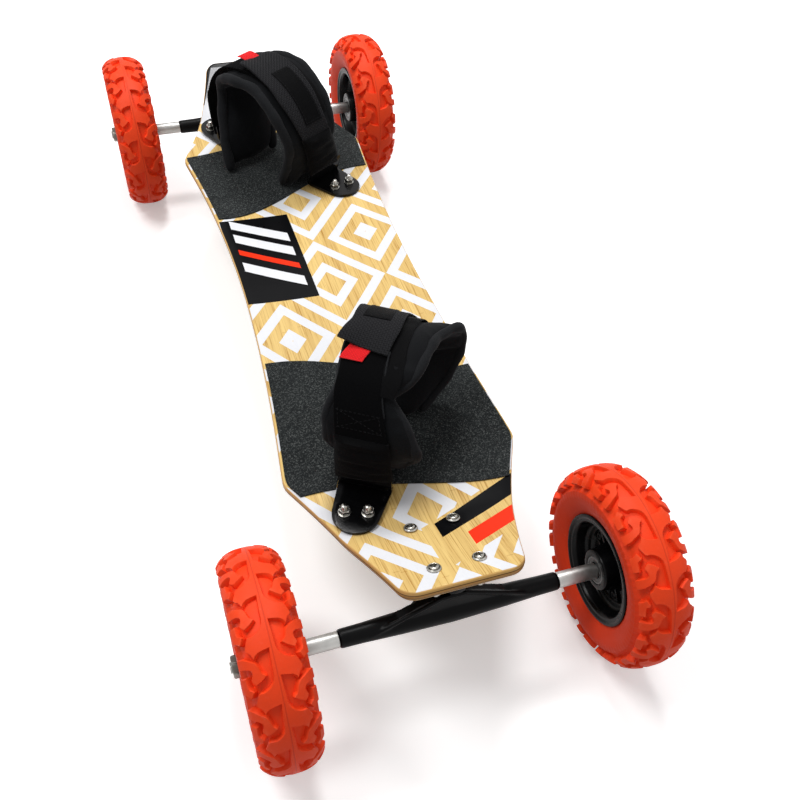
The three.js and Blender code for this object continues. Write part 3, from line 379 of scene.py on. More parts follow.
def makeClothWeave():
    # over-and-under weave on a UV map in metres; the second output is painted shade and highlight, darker in the
    # gaps and lighter on the thread crests
    tree, given, out = newGroup("clothWeave", "ShaderNodeTree", {
        "Vector": "Vector", "Pitch": 0.0016, "Rib": 0.5}, {"Height": "Float", "PaintedShade": "Float"})
    place = addNode(tree, "ShaderNodeVectorMath", {0: given["Vector"], "Scale": 1.0 / given["Pitch"]},
                    operation="SCALE").outputs[0]
    u, v, _ = Signal(place).split()
    waveU, waveV = (abs((side * math.pi).math("SINE")) for side in (u, v))
    odd = abs(u.math("FLOOR") + v.math("FLOOR")) % 2.0 > 0.5
    cloth = odd * waveU + (1.0 - odd) * waveV * given["Rib"]
    feed(out, {"Height": cloth, "PaintedShade": cloth.ramp(0.0, 0.9, 0.55, 1.15)})
    return tree


def makeWoodGrain():
    # long grain of bamboo strips, in metres along Y
    tree, given, out = newGroup("bambooGrain", "ShaderNodeTree", {
        "Vector": "Vector", "Light": (0.8, 0.6, 0.3, 1.0), "Dark": (0.55, 0.35, 0.12, 1.0),
        "Strip": 0.02}, {"Color": "Color", "Height": "Float"})
    x, y, _ = given["Vector"].split()
    strip = (x / given["Strip"]).math("FLOOR")
    seed = Signal(addNode(tree, "ShaderNodeTexWhiteNoise", {"W": strip}, noise_dimensions="1D").outputs["Value"])
    fibre = noiseNode(tree, combineNode(tree, x * 850.0, seed * 40.0 + y * 16.0, seed * 7.0), 1.0, 4, 0.6, 0.3)
    cloud = noiseNode(tree, combineNode(tree, x * 120.0, seed * 23.0 + y * 3.2, seed), 1.0, 3, 0.5)
    # the stem's joints, one here and there on each strip
    joint = ((seed * 3.1 + y).math("PINGPONG", 0.17) < 0.0006) * 0.25
    tone = fibre.ramp(0.5, 0.66) * 0.6 + cloud.ramp(0.35, 0.75) * 0.2 + seed * 0.2 + joint
    feed(out, {"Color": mixColor(tree, tone, given["Light"], given["Dark"]), "Height": fibre})
    return tree


surfaceWear, clothWeave, bambooGrain = makeSurfaceWear(), makeClothWeave(), makeWoodGrain()
print("shader groups ready")


# camera and light at the photograph's viewing angle, in metres
studio = {
    "place": (-0.204686, -0.781035, 0.806823), "right": (0.94843, -0.31200, 0.05607),
    "up": (0.21140, 0.75431, 0.62155), "lens": 38.84, "sensor": 36, "shift": (-0.0009, 0.0795),
    "worldLight": 0.40, "floorGlow": 0.32, "floorHalf": 8,
    "lights": {  # place, size and power
        "keyLight": ((-1.0, 0.3, 2.5), 1.1, 32.0), "fillLight": ((1.8, -1.6, 1.8), 2.0, 5.0),
        "topLight": ((0.35, 1.2, 2.6), 0.8, 36.0)},
}


def makeCamera():
    right, up = Vector(studio["right"]).normalized(), Vector(studio["up"]).normalized()
    turn = Matrix((right, up, right.cross(up).normalized())).transposed()
    camera = addObject("camera", bpy.data.cameras.new("camera"))
    camera.data.lens, camera.data.sensor_width = studio["lens"], studio["sensor"]
    camera.data.shift_x, camera.data.shift_y = studio["shift"]
    camera.data.clip_start = 0.01
    camera.matrix_world = Matrix.Translation(studio["place"]) @ turn.to_4x4()
    bpy.context.scene.camera = camera


def makeLight(name, place, size, power):
    light = bpy.data.lights.new(name, "AREA")
    light.shape, light.size, light.energy = "DISK", size, power
    obj = addObject(name, light)
    obj.location = place
    obj.rotation_mode = "QUATERNION"
    obj.rotation_quaternion = (Vector(place) - Vector((0, 0, 0.1))).to_track_quat("Z", "Y")


def seenPlainly(tree):
    # 1 where the camera or a mirror sees the surface, 0 where it only lights others
    path = addNode(tree, "ShaderNodeLightPath").outputs
    return Signal(path["Is Camera Ray"]) | (Signal(path["Is Glossy Ray"]) | path["Is Transmission Ray"])


def makeStudio():
    scene = bpy.context.scene
    scene.view_settings.view_transform = "Standard"
    for name, (place, size, power) in studio["lights"].items():
        makeLight(name, place, size, power)
    scene.world = bpy.data.worlds.new("studioWorld")
    scene.world.use_nodes = True
    tree = scene.world.node_tree
    tree.nodes.clear()
    level = seenPlainly(tree).ramp(0.0, 1.0, studio["worldLight"], 1.0, False)
    back = addNode(tree, "ShaderNodeBackground", {"Color": (1, 1, 1, 1), "Strength": level})
    addNode(tree, "ShaderNodeOutputWorld", {"Surface": back.outputs[0]})


def makeFloor():
    h = studio["floorHalf"]
    floor = makeObject("studioFloor", [(-h, -h, 0), (h, -h, 0), (h, h, 0), (-h, h, 0)], [(0, 1, 2, 3)])
    material, tree, shader, place = newMaterial("paleFloor", {"Roughness": 0.95, "Specular IOR Level": 0.1})
    seen = seenPlainly(tree)
    plain = mixColor(tree, noiseNode(tree, place, 90, 3), (0.34, 0.34, 0.34, 1), (0.38, 0.38, 0.38, 1))
    feed(shader, {"Base Color": mixColor(tree, seen, plain, (1, 1, 1, 1)),
                  "Emission Color": (1, 1, 1, 1), "Emission Strength": seen * studio["floorGlow"]})
    floor.data.materials.append(material)


makeCamera()
makeStudio()
makeFloor()
print("camera, lights and floor ready")


# the deck: a waist, two shoulders, tips bent up, and a slight bow along and across
tipTurn = math.radians(22.1)
deck = {
    "truckDistance": 398.0, "halfLength": 452.5, "thickness": 13.0, "topRound": 2.4, "underRound": 8.5,
    "belly": 0.15, "waist": 101.3, "shoulder": 121.2, "shoulderDistance": 284.0, "waistPower": 1.86,
    "tip": 55.8, "corner": 20.0, "hollow": 5.9, "camber": 3.9, "concave": 6.3, "droop": -3.7,
    "bendDistance": 362.0, "bendSoftness": 9.0, "truckHeight": 55.5, "axleOffset": 17.1,
    "station": 7.0, "columns": 20, "cornerSteps": 12,
}
tipEnd, shoulderAt, bendAt = deck["halfLength"], deck["shoulderDistance"], deck["bendDistance"]


def bendRise(distance):
    def soft(past):
        return (past + math.hypot(past, deck["bendSoftness"])) / 2
    return math.tan(tipTurn) * (soft(distance - bendAt) - soft(-bendAt))


def flankLine(distance):
    share = (distance - shoulderAt) / (tipEnd - shoulderAt)
    wide = deck["shoulder"] + (deck["tip"] - deck["shoulder"]) * share
    return wide - 4 * deck["hollow"] * share * (1 - share)


flankLean = math.atan(flankLine(tipEnd - 1) - flankLine(tipEnd))
cornerStart = tipEnd - deck["corner"] * (1 - math.sin(flankLean))
cornerMiddle = flankLine(cornerStart) - deck["corner"] * math.cos(flankLean)


def halfWidthAt(distance):
    if distance <= cornerStart:
        widening = (distance / shoulderAt) ** deck["waistPower"]
        a = deck["waist"] + (deck["shoulder"] - deck["waist"]) * widening
        b = flankLine(distance)
        return (a + b - math.hypot(a - b, 3.0)) / 2
    past = min(distance - tipEnd + deck["corner"], deck["corner"])
    return cornerMiddle + math.sqrt(max(deck["corner"] ** 2 - past ** 2, 0))


def concaveAt(distance):
    if distance < shoulderAt:
        return deck["concave"] + (deck["droop"] - deck["concave"]) * (distance / shoulderAt) ** 2
    return deck["droop"] * max(0.0, 1 - (distance - shoulderAt) / (bendAt - shoulderAt))


def shapeRise(x, y):
    distance = abs(y)
    across = x / max(halfWidthAt(min(distance, tipEnd - 2.0)), 1.0)
    camber = deck["camber"] * (1 - min((distance / shoulderAt) ** 2, 1))
    return camber + bendRise(distance) + concaveAt(distance) * across ** 2


mountHeight = 100 + deck["truckHeight"] * math.cos(tipTurn) - deck["axleOffset"] * math.sin(tipTurn)
deckBase = mountHeight + (deck["thickness"] + 0.3) / math.cos(tipTurn) - shapeRise(0, deck["truckDistance"])
axleDistance = (deck["truckDistance"] + deck["axleOffset"] * math.cos(tipTurn)
                + deck["truckHeight"] * math.sin(tipTurn))


def deckTop(x, y):
    return deckBase + shapeRise(x, y)


def deckSlopes(x, y, reach=0.45):
    return ((deckTop(x + reach, y) - deckTop(x - reach, y)) / (2 * reach),
            (deckTop(x, y + reach) - deckTop(x, y - reach)) / (2 * reach))


def deckPoint(x, y, depth):
    slope = deckSlopes(x, y)[1]
    square = math.hypot(1, slope)
    return Vector((x, y + depth * slope / square, deckTop(x, y) - depth / square)) * mm


def deckNormal(x, y):
    slopeX, slopeY = deckSlopes(x, y)
    return Vector((-slopeX, -slopeY, 1)).normalized()


def deckStations(least):
    # places along the deck, closer together at the bends, the shoulders and the corners
    found = [0.0]
    while found[-1] < cornerStart - least:
        here = found[-1]
        tight = abs(here - bendAt) < 34 or abs(here - shoulderAt) < 16
        found.append(here + (least * 0.45 if tight else least))
    found = [d for d in found if d < cornerStart - 1.0]
    for lean in spread(flankLean, math.pi / 2, deck["cornerSteps"]):
        found.append(tipEnd - deck["corner"] * (1 - math.sin(lean)))
    return [-d for d in found[:0:-1]] + found


def makeDeck():
    # each cross-section is one loop: flat top, rounded and slightly bellied edge, flat bottom
    thickness, edge, under = deck["thickness"], deck["topRound"], deck["underRound"]
    shares = spread(-1, 1, deck["columns"])
    bulge = edge + deck["belly"]
    walls = [(edge * math.sin(turn), edge * (1 - math.cos(turn))) for turn in spread(0, math.pi / 2, 4)[1:]]
    walls += [(bulge, thickness * 0.3), (bulge + 0.05, thickness * 0.42)]
    lower = [(bulge - under * (1 - math.cos(turn)), thickness - under + under * math.sin(turn))
             for turn in spread(0, math.pi / 2, 6)]
    walls += lower[:-1]
    rings, depths = [], {}
    for y in deckStations(deck["station"]):
        flat = halfWidthAt(abs(y)) - edge
        # the end is rounded over above and below as the sides are
        past = tipEnd - abs(y)
        high, low = (r - math.sqrt(r ** 2 - max(r - past, 0) ** 2) for r in (edge, under))
        spots = [(share * flat, 0) for share in shares] + [(flat + out, depth) for out, depth in walls]
        spots += [(share * (flat + lower[-1][0]), thickness) for share in shares[::-1]]
        spots += [(-flat - out, depth) for out, depth in walls[::-1]]
        ring = []
        for x, depth in spots:
            deep = high + depth * (thickness - high - low) / thickness
            ring.append(deckPoint(x, y, deep))
            depths[tuple(round(c, 6) for c in ring[-1])] = deep
        rings.append(ring)
    obj = ringStack("deckBoard", rings)
    layer = obj.data.attributes.new("plyDepth", "FLOAT", "POINT")
    for i, vertex in enumerate(obj.data.vertices):
        layer.data[i].value = depths.get(tuple(round(c, 6) for c in vertex.co), 0.0)
    return smoothShade(obj, 40)


# the deck's graphic, in metres: white nested bands, a plain panel, two accent bars and a white tail field inside a
# thin dark border; the field's grey towards the tip is painted glare of the top light
deckLooks = {
    "light": linear(233, 201, 130), "dark": linear(172, 122, 52), "white": linear(229, 232, 239),
    "panel": linear(6, 6, 8), "accent": linear(240, 52, 22), "dust": linear(214, 190, 150),
    "edgeLight": linear(224, 180, 112), "edgeCore": linear(196, 148, 86), "edgeDark": linear(70, 44, 26),
    "strip": 0.0062, "cellX": 0.066, "cellY": 0.083, "cellShift": 0.019, "bandShift": 0.12,
    "bandShare": 0.22, "bandStep": 0.5, "panelX": (-0.1035, -0.0186), "panelY": (-0.0352, 0.1245),
    # bars: slope, offset, half width, and between which places across the deck
    "stripes": [(0.55, offset, 0.0085, -0.092, -0.027) for offset in (-0.063, -0.035, 0.021)],
    "redStripe": (0.55, -0.007, 0.005, -0.092, -0.027),
    "noseBlack": (-0.42, 0.382, 0.0105, 0.002, 0.2), "noseRed": (-0.42, 0.413, 0.0095, 0.026, 0.2),
    "noseClear": (-0.42, 0.399, 0.031, -0.012, 0.2),
    "tailFrom": 0.362, "borderFrom": 0.388, "borderTo": 0.4448, "borderWidth": 0.0078,
    "plyMiddle": 6.1, "plyLine": 1.9,  # depths in mm
}


def makeDeckBands():
    tree, given, out = newGroup("deckBands", "ShaderNodeTree", {"Vector": "Vector"},
                                {"White": "Float", "Black": "Float", "Red": "Float"})
    looks = deckLooks
    x, y, _ = given["Vector"].split()

    def bar(slope, offset, half, low, high):
        return (abs(x * slope + y + offset) < half) * between(x, low, high)

    cellX = x.math("PINGPONG", looks["cellX"]) / looks["cellX"]
    cellY = (y + looks["cellShift"]).math("PINGPONG", looks["cellY"]) / looks["cellY"]
    nested = (cellX + cellY + looks["bandShift"]).math("PINGPONG", looks["bandStep"] / 2)
    bands = nested < looks["bandShare"] / 2
    panel = between(x, *looks["panelX"]) * between(x * -0.02 + y, *looks["panelY"])
    first, second, third = (bar(*stripe) for stripe in looks["stripes"])
    stripes, redStripe = first | second | third, bar(*looks["redStripe"])
    # the tail's field and its thin dark border; the field is greyed towards the tip as painted glare of the top
    # light
    flank = y * -0.388 + (0.2314 - abs(x))
    border = ((flank < looks["borderWidth"]) | (y > looks["borderTo"])) * (y > looks["borderFrom"])
    field = (y > looks["tailFrom"]) * (1.0 - border)
    black = panel * (1.0 - (stripes | redStripe)) | (bar(*looks["noseBlack"]) | border)
    around = panel | (bar(*looks["noseClear"]) | border)
    bands = bands * (1.0 - around) | (stripes | field)
    # painted glare: the tail field greys towards the tip
    feed(out, {"White": bands * (1.0 - black), "Black": black | field * y.ramp(0.392, 0.402, 0.1, 0.55),
               "Red": redStripe | bar(*looks["noseRed"])})
    return tree


def makeDeckMaterial():
    looks = deckLooks
    material, tree, shader, place = newMaterial("bambooPly", {
        "Specular IOR Level": 0.06, "Coat Weight": 0.04, "Coat Roughness": 0.1})
    grain = fillGroup(tree, bambooGrain, {
        "Vector": place, "Light": looks["light"], "Dark": looks["dark"], "Strip": looks["strip"]})
    bands = fillGroup(tree, makeDeckBands(), {"Vector": place})
    top = mixColor(tree, bands["White"] * 0.93, grain["Color"], looks["white"])
    top = mixColor(tree, bands["Black"], top, looks["panel"])
    top = mixColor(tree, bands["Red"], top, looks["accent"])
    depth = Signal(addNode(tree, "ShaderNodeAttribute", None, attribute_name="plyDepth",
                           attribute_type="GEOMETRY").outputs["Fac"])
    # the edge's plies, slightly wavy
    wavy = noiseNode(tree, place, 14, 3) * 0.5 + (depth - 0.25)
    fromMiddle = abs(wavy - looks["plyMiddle"])
    core, line = fromMiddle.ramp(1.95, 1.8), abs(fromMiddle - looks["plyLine"]).ramp(0.62, 0.3)
    fibre = noiseNode(tree, stretched(tree, place, (300, 40, 900)), 1.0, 3)
    edge = mixColor(tree, core, looks["edgeLight"], looks["edgeCore"])
    edge = mixColor(tree, fibre * 0.4, edge, looks["dark"])
    edge = mixColor(tree, line * 0.9, edge, looks["edgeDark"])
    color = mixColor(tree, depth.ramp(0.35, 0.75, 1.0, 0.0), edge, top)
    color = mixColor(tree, depth.ramp(12.2, 12.6), color, grain["Color"])
    wear = fillGroup(tree, surfaceWear, {
        "Vector": place, "Base": color, "Worn": looks["dust"], "Scale": 22.0, "Mottle": 0.10, "Edge": 0.5})
    feed(shader, {"Base Color": wear["Color"], "Roughness": wear["Rough"].ramp(0.3, 0.7, 0.22, 0.42),
                  "Normal": bumpFrom(grain["Height"] * 0.4 + bands["White"] * 0.6, 0.00012, 0.5)})
    return material


placePiece(makeDeck(), makeDeckMaterial(), "board", ["deck"])
print("deck ready")


# the bindings' places: an arch over each foot, standing on two plates
arch = {
    "distance": 251.0, "angle": 58.3, "half": 86.0, "base": 80.2, "spring": 52.2, "rise": 80.0,
    "legOffset": 8.0, "heightShare": {"front": 0.94, "rear": 1.0}, "flangeInset": 2.8, "floorGap": 1.5,
    "creaseHalf": 26.5, "endRadius": 23.0, "endReach": 34.3, "plateThickness": 3.0,
}
sides = {"left": -1, "right": 1}
wholeLength = arch["spring"] + math.pi / 4 * (arch["half"] + arch["rise"])
legShare, travelPerLength = arch["spring"] / wholeLength, 1 / wholeLength


def bindingFrame(end):
    sign, turn = (1 if end == "front" else -1), math.radians(arch["angle"])
    middle, run = Vector((0, -sign * arch["distance"], 0)), Vector((math.cos(turn), sign * math.sin(turn), 0))
    spots = [middle + run * share * arch["half"] for share in (-1, -0.5, 0, 0.5, 1)]
    return {"middle": middle, "run": run, "foot": Vector((math.sin(turn), -sign * math.cos(turn), 0)),
            "floor": max(deckTop(p.x, p.y) for p in spots) + arch["floorGap"]}


bindings = {end: bindingFrame(end) for end in ("front", "rear")}


def archPoint(travel, inset):
    # travel is -1 at the left plate, 0 on top and 1 at the right plate
    side = -1 if travel < 0 else 1
    size = abs(travel)
    if size > 1 - legShare:
        down = (size - 1 + legShare) / legShare
        drawn = (arch["half"] - arch["base"]) * down ** 2
        return Vector((side * (arch["half"] - inset - drawn), 0, arch["spring"] * (1 - down)))
    turn = size / (1 - legShare) * math.pi / 2
    return Vector((side * (arch["half"] - inset) * math.sin(turn), 0,
                   arch["spring"] + (arch["rise"] - inset) * math.cos(turn)))


def inBinding(end, spot):
    binding = bindings[end]
    flat = binding["middle"] + binding["run"] * spot.x + binding["foot"] * spot.y
    return Vector((flat.x, flat.y, binding["floor"] + spot.z * arch["heightShare"][end]))


def plateOutline(grow=0.0, steps=20):
    half, reach, radius = arch["creaseHalf"], arch["endReach"], arch["endRadius"]
    start = math.atan2(-reach, half) + math.acos(radius / math.hypot(half, reach))
    return [(-half - grow, -grow), (half + grow, -grow)] + [
        ((radius + grow) * math.cos(turn), reach + (radius + grow) * math.sin(turn))
        for turn in (start + (math.pi - 2 * start) * i / steps for i in range(steps + 1))]


def plateSeat(end, side):
    # the plate's own frame: +Y outward from the crease, +Z off the deck, zero at its underside (mm)
    crease = archPoint(side, arch["flangeInset"] + arch["plateThickness"])
    crease.y = side * arch["legOffset"]
    place = inBinding(end, crease)
    outward = bindings[end]["run"] * side
    turn = math.atan2(outward.y, outward.x) - math.pi / 2
    up = deckNormal(place.x, place.y)
    seat = axisFrame((place.x, place.y, deckTop(place.x, place.y)), up) @ Matrix.Rotation(turn, 4, "Z")
    spots = [seat @ Vector((u, v, 0)) for u, v in plateOutline()]
    lift = max([0.0] + [(deckTop(spot.x, spot.y) - spot.z) * up.z for spot in spots])
    return Matrix.Translation(up * (lift + 0.3)) @ seat


wheelSizes = {
    "halfTrack": 171.75, "axleHeight": 100.0, "pitches": 14, "pitch": 44.9, "seam": 35.4, "edge": 35.0,
    "depthMiddle": 4.2, "depthShoulder": 6.4, "lineStep": 1.9, "rows": 17, "columns": 13.5, "clear": 0.95,
    "bevel": ((-0.4, 1.0), (0.0, 0.9), (0.55, 0.0)),  # offsets of the lines round a lug, and their heights
    "turns": {"front_right": 0.0, "front_left": 2.4, "rear_right": 7.0, "rear_left": -5.0},
}


# finishes: colours, then wear as scale, mottling and edges, lowest and highest roughness,
# and the skin's noise scale, depth and strength
finishLooks = {
    "cast": {"name": "satinCast", "base": (6, 6, 7), "worn": (56, 56, 60), "wear": (70.0, 0.5, 0.2),
             "rough": (0.24, 0.42), "skin": (1400, 0.0001, 0.5), "shader": {"Specular IOR Level": 0.08}},
    "plate": {"name": "glossPlate", "base": (5, 5, 6), "worn": (74, 74, 76), "wear": (90.0, 0.4, 0.12),
              "rough": (0.14, 0.3), "skin": (420, 0.0001, 0.25),
              "shader": {"Specular IOR Level": 0.14, "Coat Weight": 0.08, "Coat Roughness": 0.1}},
    "rim": {"name": "glossRim", "base": (4, 4, 5), "worn": (50, 50, 54), "wear": (50.0, 0.4, 0.15),
            "rough": (0.2, 0.36), "skin": (300, 0.0001, 0.2),
            "shader": {"Coat Weight": 0.03, "Coat Roughness": 0.06, "Specular IOR Level": 0.09}},
    "tyre": {"name": "tyreRubber", "base": (240, 68, 25), "worn": (255, 118, 78), "wear": (26.0, 0.16, 0.4),
             "rough": (0.46, 0.66), "shader": {"Specular IOR Level": 0.2}},
    "urethane": {"name": "urethane", "base": (30, 30, 33), "worn": (70, 70, 74), "wear": (120.0, 0.3, 0.3),
                 "rough": (0.4, 0.6), "shader": {"Specular IOR Level": 0.4}},
    "bearing": {"name": "sealedBearing", "base": (92, 92, 92), "worn": (170, 170, 170),
                "wear": (160.0, 0.3, 0.4), "rough": (0.26, 0.42), "shader": {"Specular IOR Level": 0.4}},
}
for title, base, worn, rough, stretch in (
        ("steel", (166, 164, 158), (222, 221, 218), 0.24, (900, 900, 90)),
        ("axleSteel", (176, 175, 172), (212, 212, 210), 0.4, (60, 1200, 1200)),
        ("darkSteel", (112, 108, 102), (190, 188, 182), 0.3, (900, 900, 90))):
    finishLooks[title] = {
        "name": title, "base": base, "worn": worn, "wear": (130.0, 0.3, 0.5), "stretch": stretch,
        "rough": (rough - 0.07, rough + 0.09), "skin": (1.0, 0.00005, 0.35), "shader": {"Metallic": 1.0}}


def wornMaterial(look):
    material, tree, shader, place = newMaterial(look["name"], look["shader"])
    scale, mottle, edge = look["wear"]
    wear = fillGroup(tree, surfaceWear, {
        "Vector": place, "Base": linear(*look["base"]), "Worn": linear(*look["worn"]),
        "Scale": scale, "Mottle": mottle, "Edge": edge})
    feed(shader, {"Base Color": wear["Color"], "Roughness": wear["Rough"].ramp(0.3, 0.7, *look["rough"])})
    if "skin" in look:
        scale, depth, strength = look["skin"]
        spot = stretched(tree, place, look["stretch"]) if "stretch" in look else place
        feed(shader, {"Normal": bumpFrom(noiseNode(tree, spot, scale, 2), depth, strength)})
    return material, tree, shader, place, wear["Color"]


def wheelRadius(place):
    # distance from the nearer axle, turn about it and distance across, in metres
    x, y, z = place.split()
    along, above = abs(y) - axleDistance * mm, z - wheelSizes["axleHeight"] * mm
    return (along * along + above * above).math("SQRT"), above.math("ARCTAN2", along), abs(x)


def tyreMaterial():
    material, tree, shader, place, color = wornMaterial(finishLooks["tyre"])
    radius, turn, across = wheelRadius(place)
    dust = noiseNode(tree, place, 160, 5, 0.7).ramp(0.58, 0.8, 0.0, 0.14)
    worn = mixColor(tree, dust, color, linear(226, 150, 130))
    # side walls painted darker as shade, with mould rings, radial marks and a seam round the crown
    worn = mixColor(tree, radius.ramp(0.084, 0.078) * 0.34, worn, linear(196, 40, 18))
    seam = abs(across - wheelSizes["halfTrack"] * mm).ramp(0.0007, 0.0003)
    rings = (radius * 4200.0).math("SINE") * (radius.ramp(0.0575, 0.059) * radius.ramp(0.067, 0.065))
    teeth = (turn * 84.0).math("SINE").ramp(-0.2, 0.4) * (radius.ramp(0.072, 0.0735) * radius.ramp(0.083, 0.082))
    height = rings * 0.5 + noiseNode(tree, place, 900, 3) + (teeth * 1.6 + seam * 2.0)
    feed(shader, {"Base Color": mixColor(tree, seam * 0.35, worn, linear(176, 34, 14)),
                  "Normal": bumpFrom(height, 0.0002, 0.5)})
    return material


def bearingMaterial():
    # black seal between two bright rings
    material, tree, shader, place, color = wornMaterial(finishLooks["bearing"])
    radius = wheelRadius(place)[0]
    ring = radius.ramp(0.0088, 0.0086) | radius.ramp(0.0123, 0.0125)
    feed(shader, {"Base Color": mixColor(tree, ring, linear(9, 9, 10), color), "Metallic": ring})
    return material


def gripMaterial():
    material, tree, shader, place = newMaterial("gripPaper", {"Specular IOR Level": 0.12})
    grit = addNode(tree, "ShaderNodeTexVoronoi", {"Vector": place, "Scale": 1120.0}).outputs["Color"]
    first, second = [Signal(s) for s in addNode(tree, "ShaderNodeSeparateColor", {0: grit}).outputs][:2]
    dark = mixColor(tree, noiseNode(tree, place, 30, 4).ramp(0.3, 0.7), linear(19, 22, 23), linear(27, 30, 31))
    speck = first.ramp(0.4, 1.0) * (second * 0.42 + 0.06)
    feed(shader, {"Base Color": mixColor(tree, speck, dark, linear(126, 130, 128)),
                  "Roughness": first.ramp(0.0, 1.0, 0.74, 0.96), "Normal": bumpFrom(first, 0.0003, 0.8)})
    return material


finishes = {title: wornMaterial(finishLooks[title])[0]
            for title in ("cast", "plate", "rim", "urethane", "steel", "axleSteel", "darkSteel")}
finishes |= {"tyre": tyreMaterial(), "grip": gripMaterial(), "bearing": bearingMaterial()}


def nutShape(name, corner, height, start, place, bore=0.0, washer=None):
    # hexagon with turned-down corners, on an optional washer; lengths in mm along local Z
    flat, count, rings = corner * math.cos(math.pi / 6), 72, []
    for share, limit in ((0.0, flat * 0.97), (0.06, flat * 1.06), (0.14, corner),
                         (0.86, corner), (0.94, flat * 1.06), (1.0, flat * 0.97)):
        ring = []
        for angle in aroundSteps(count):
            off = (angle + math.pi / 6) % (math.pi / 3) - math.pi / 6
            ring.append(polar(min(flat / math.cos(off), limit), angle, start + share * height) * mm)
        rings.append(ring)
    hollow = max(bore, corner * 0.5)
    rings += [circle(start + share * height, radius, count)
              for radius, share in ((hollow + 0.5, 1.0), (hollow, 0.93), (hollow * 0.98, 0.6))]
    pieces = [ringStack(name + "Hex", rings)]
    if washer:
        radius, thick = washer
        profile = [(start - thick, 0), (start - thick, radius), (start, radius), (start, 0)]
        pieces.append(latheShape(name + "Washer", profile, 48, None, (0.35, 2)))
    return smoothShade(moveTo(joinAll(name, pieces), place), 32)


def threadShape(name, radius, start, end, pitch, place=Matrix.Identity(4)):
    # a screw thread, as one helical skin closed by both ends
    count, turns, rings = 24, int((end - start) / pitch * 4) + 1, []
    for k in range(turns + 1):
        ring = []
        for i, angle in enumerate(aroundSteps(count)):
            deep = abs((k / 4 - i / count) % 1.0 - 0.5) * 2
            r = radius - (0.3 if k in (0, turns) else 0.32 * deep) * pitch
            ring.append(polar(r, angle, start + (end - start) * k / turns) * mm)
        rings.append(ring)
    return smoothShade(moveTo(ringStack(name, rings), place), 60)


# wheels: the tread's shapes lie flat as (distance from the middle line, distance round)
treadBand = [
    (21.2, 35.4), (21.5, 36.2), (21.5, 37), (20.5, 39), (19, 42.3), (17.7, 44.6), (16.3, 45.4), (14, 45.2),
    (11, 46.2), (8, 48), (5.5, 50.5), (4, 53), (3.2, 57), (3, 64), (2.5, 72), (2, 78.3), (7, 77.5), (11, 76.5),
    (14, 74.5), (15.5, 72), (16.6, 74.5), (18, 77), (20, 78.6), (21, 79.5), (21.2, 80.3)]
treadHook = [
    (32.8, 66), (25, 65.5), (22, 65), (20, 63.8), (19.3, 62), (20, 59.2), (21.3, 57), (21, 55), (18, 52),
    (13, 54.5), (8.6, 58), (9.5, 59.3), (11.3, 60.3), (12.3, 62), (13.2, 65), (14.5, 68), (16, 70), (20, 72),
    (25, 74.3), (30, 75.3), (32.8, 75)]
treadBlock = [(32.8, 44), (28, 43.3), (25, 41), (23.8, 42), (21.3, 46.5), (22.5, 48), (25, 49), (25.8, 51),
              (26.2, 58.5), (32.8, 58.5)]
# half of the tyre's section as (place across, radius)
crownProfile = [(0, 100), (8, 99.75), (15, 98.2), (21, 95.2), (26, 90.5), (29, 85), (30, 80), (29.2, 75)]
sideProfile = [(27.2, 79.5), (27.8, 75), (26.8, 69), (24.4, 62.5), (22.2, 58.6), (20.6, 56.3), (19.7, 53.5),
               (19.6, 50.6)]
casingProfile = [(14.5, 50.6), (16, 56), (21, 68), (22.5, 78), (20.5, 85), (12, 90.5), (0, 92)]


def splineThrough(points, steps):
    # smooth line through points
    points = [Vector(p) for p in points]
    ends = [2 * points[0] - points[1]] + points + [2 * points[-1] - points[-2]]
    out = []
    for a, b, c, d in zip(ends, ends[1:], ends[2:], ends[3:]):
        for t in spread(0, 1, steps)[:-1]:
            square, cube = 2 * a - 5 * b + 4 * c - d, 3 * b - a - 3 * c + d
            out.append(0.5 * (2 * b + (c - a) * t + square * t * t + cube * t ** 3))
    return out + [points[-1].copy()]


crownLine = splineThrough(crownProfile, 10)
crownLength = [0.0]
for before, here in zip(crownLine, crownLine[1:]):
    crownLength.append(crownLength[-1] + (here - before).length)


def crownPlace(reach):
    return [float(np.interp(reach, crownLength, [p[i] for p in crownLine])) for i in (0, 1)]


def crownAt(reach, height):
    # a point of the tread by its distance from the middle line, on a lug (1) or between lugs (0)
    (x, r), after, before = crownPlace(reach), crownPlace(reach + 0.8), crownPlace(max(reach - 0.8, 0))
    ahead, drop = after[0] - before[0], after[1] - before[1]
    size = math.hypot(ahead, drop) or 1.0
    middle, shoulder = wheelSizes["depthMiddle"], wheelSizes["depthShoulder"]
    lower = (middle + (shoulder - middle) * min(reach / 32, 1)) * (1 - height)
    return x + lower * drop / size, r - lower * ahead / size


def pairsOf(points, closed=True):
    return list(zip(points, points[1:] + points[:1] if closed else points[1:]))


def splitLine(points, longest, closed):
    out = []
    for a, b in pairsOf(points, closed):
        count = max(1, math.ceil(math.dist(a, b) / longest))
        out += [(a[0] + (b[0] - a[0]) * i / count, a[1] + (b[1] - a[1]) * i / count) for i in range(count)]
    return out if closed else out + [points[-1]]


def offsetLine(points, amount, closed):
    # positive goes to the right of the direction of travel
    out, last = [], len(points) - 1
    for i, here in enumerate(points):
        before = points[i - 1 if closed or i else 0]
        after = points[(i + 1) % (last + 1) if closed else min(i + 1, last)]
        a, b = Vector(here) - Vector(before), Vector(after) - Vector(here)
        a = a.normalized() if a.length > 1e-9 else b.normalized()
        b = b.normalized() if b.length > 1e-9 else a
        first, second = Vector((a.y, -a.x)), Vector((b.y, -b.x))
        middle = first + second
        middle = middle.normalized() if middle.length > 1e-6 else first
        stretch = min(1 / max(middle.dot(first), 0.45), 1.7)
        if not closed and i in (0, last):
            middle, stretch = Vector((math.copysign(1, middle.x), 0)), 1
        out.append((here[0] + middle.x * amount * stretch, here[1] + middle.y * amount * stretch))
    return out


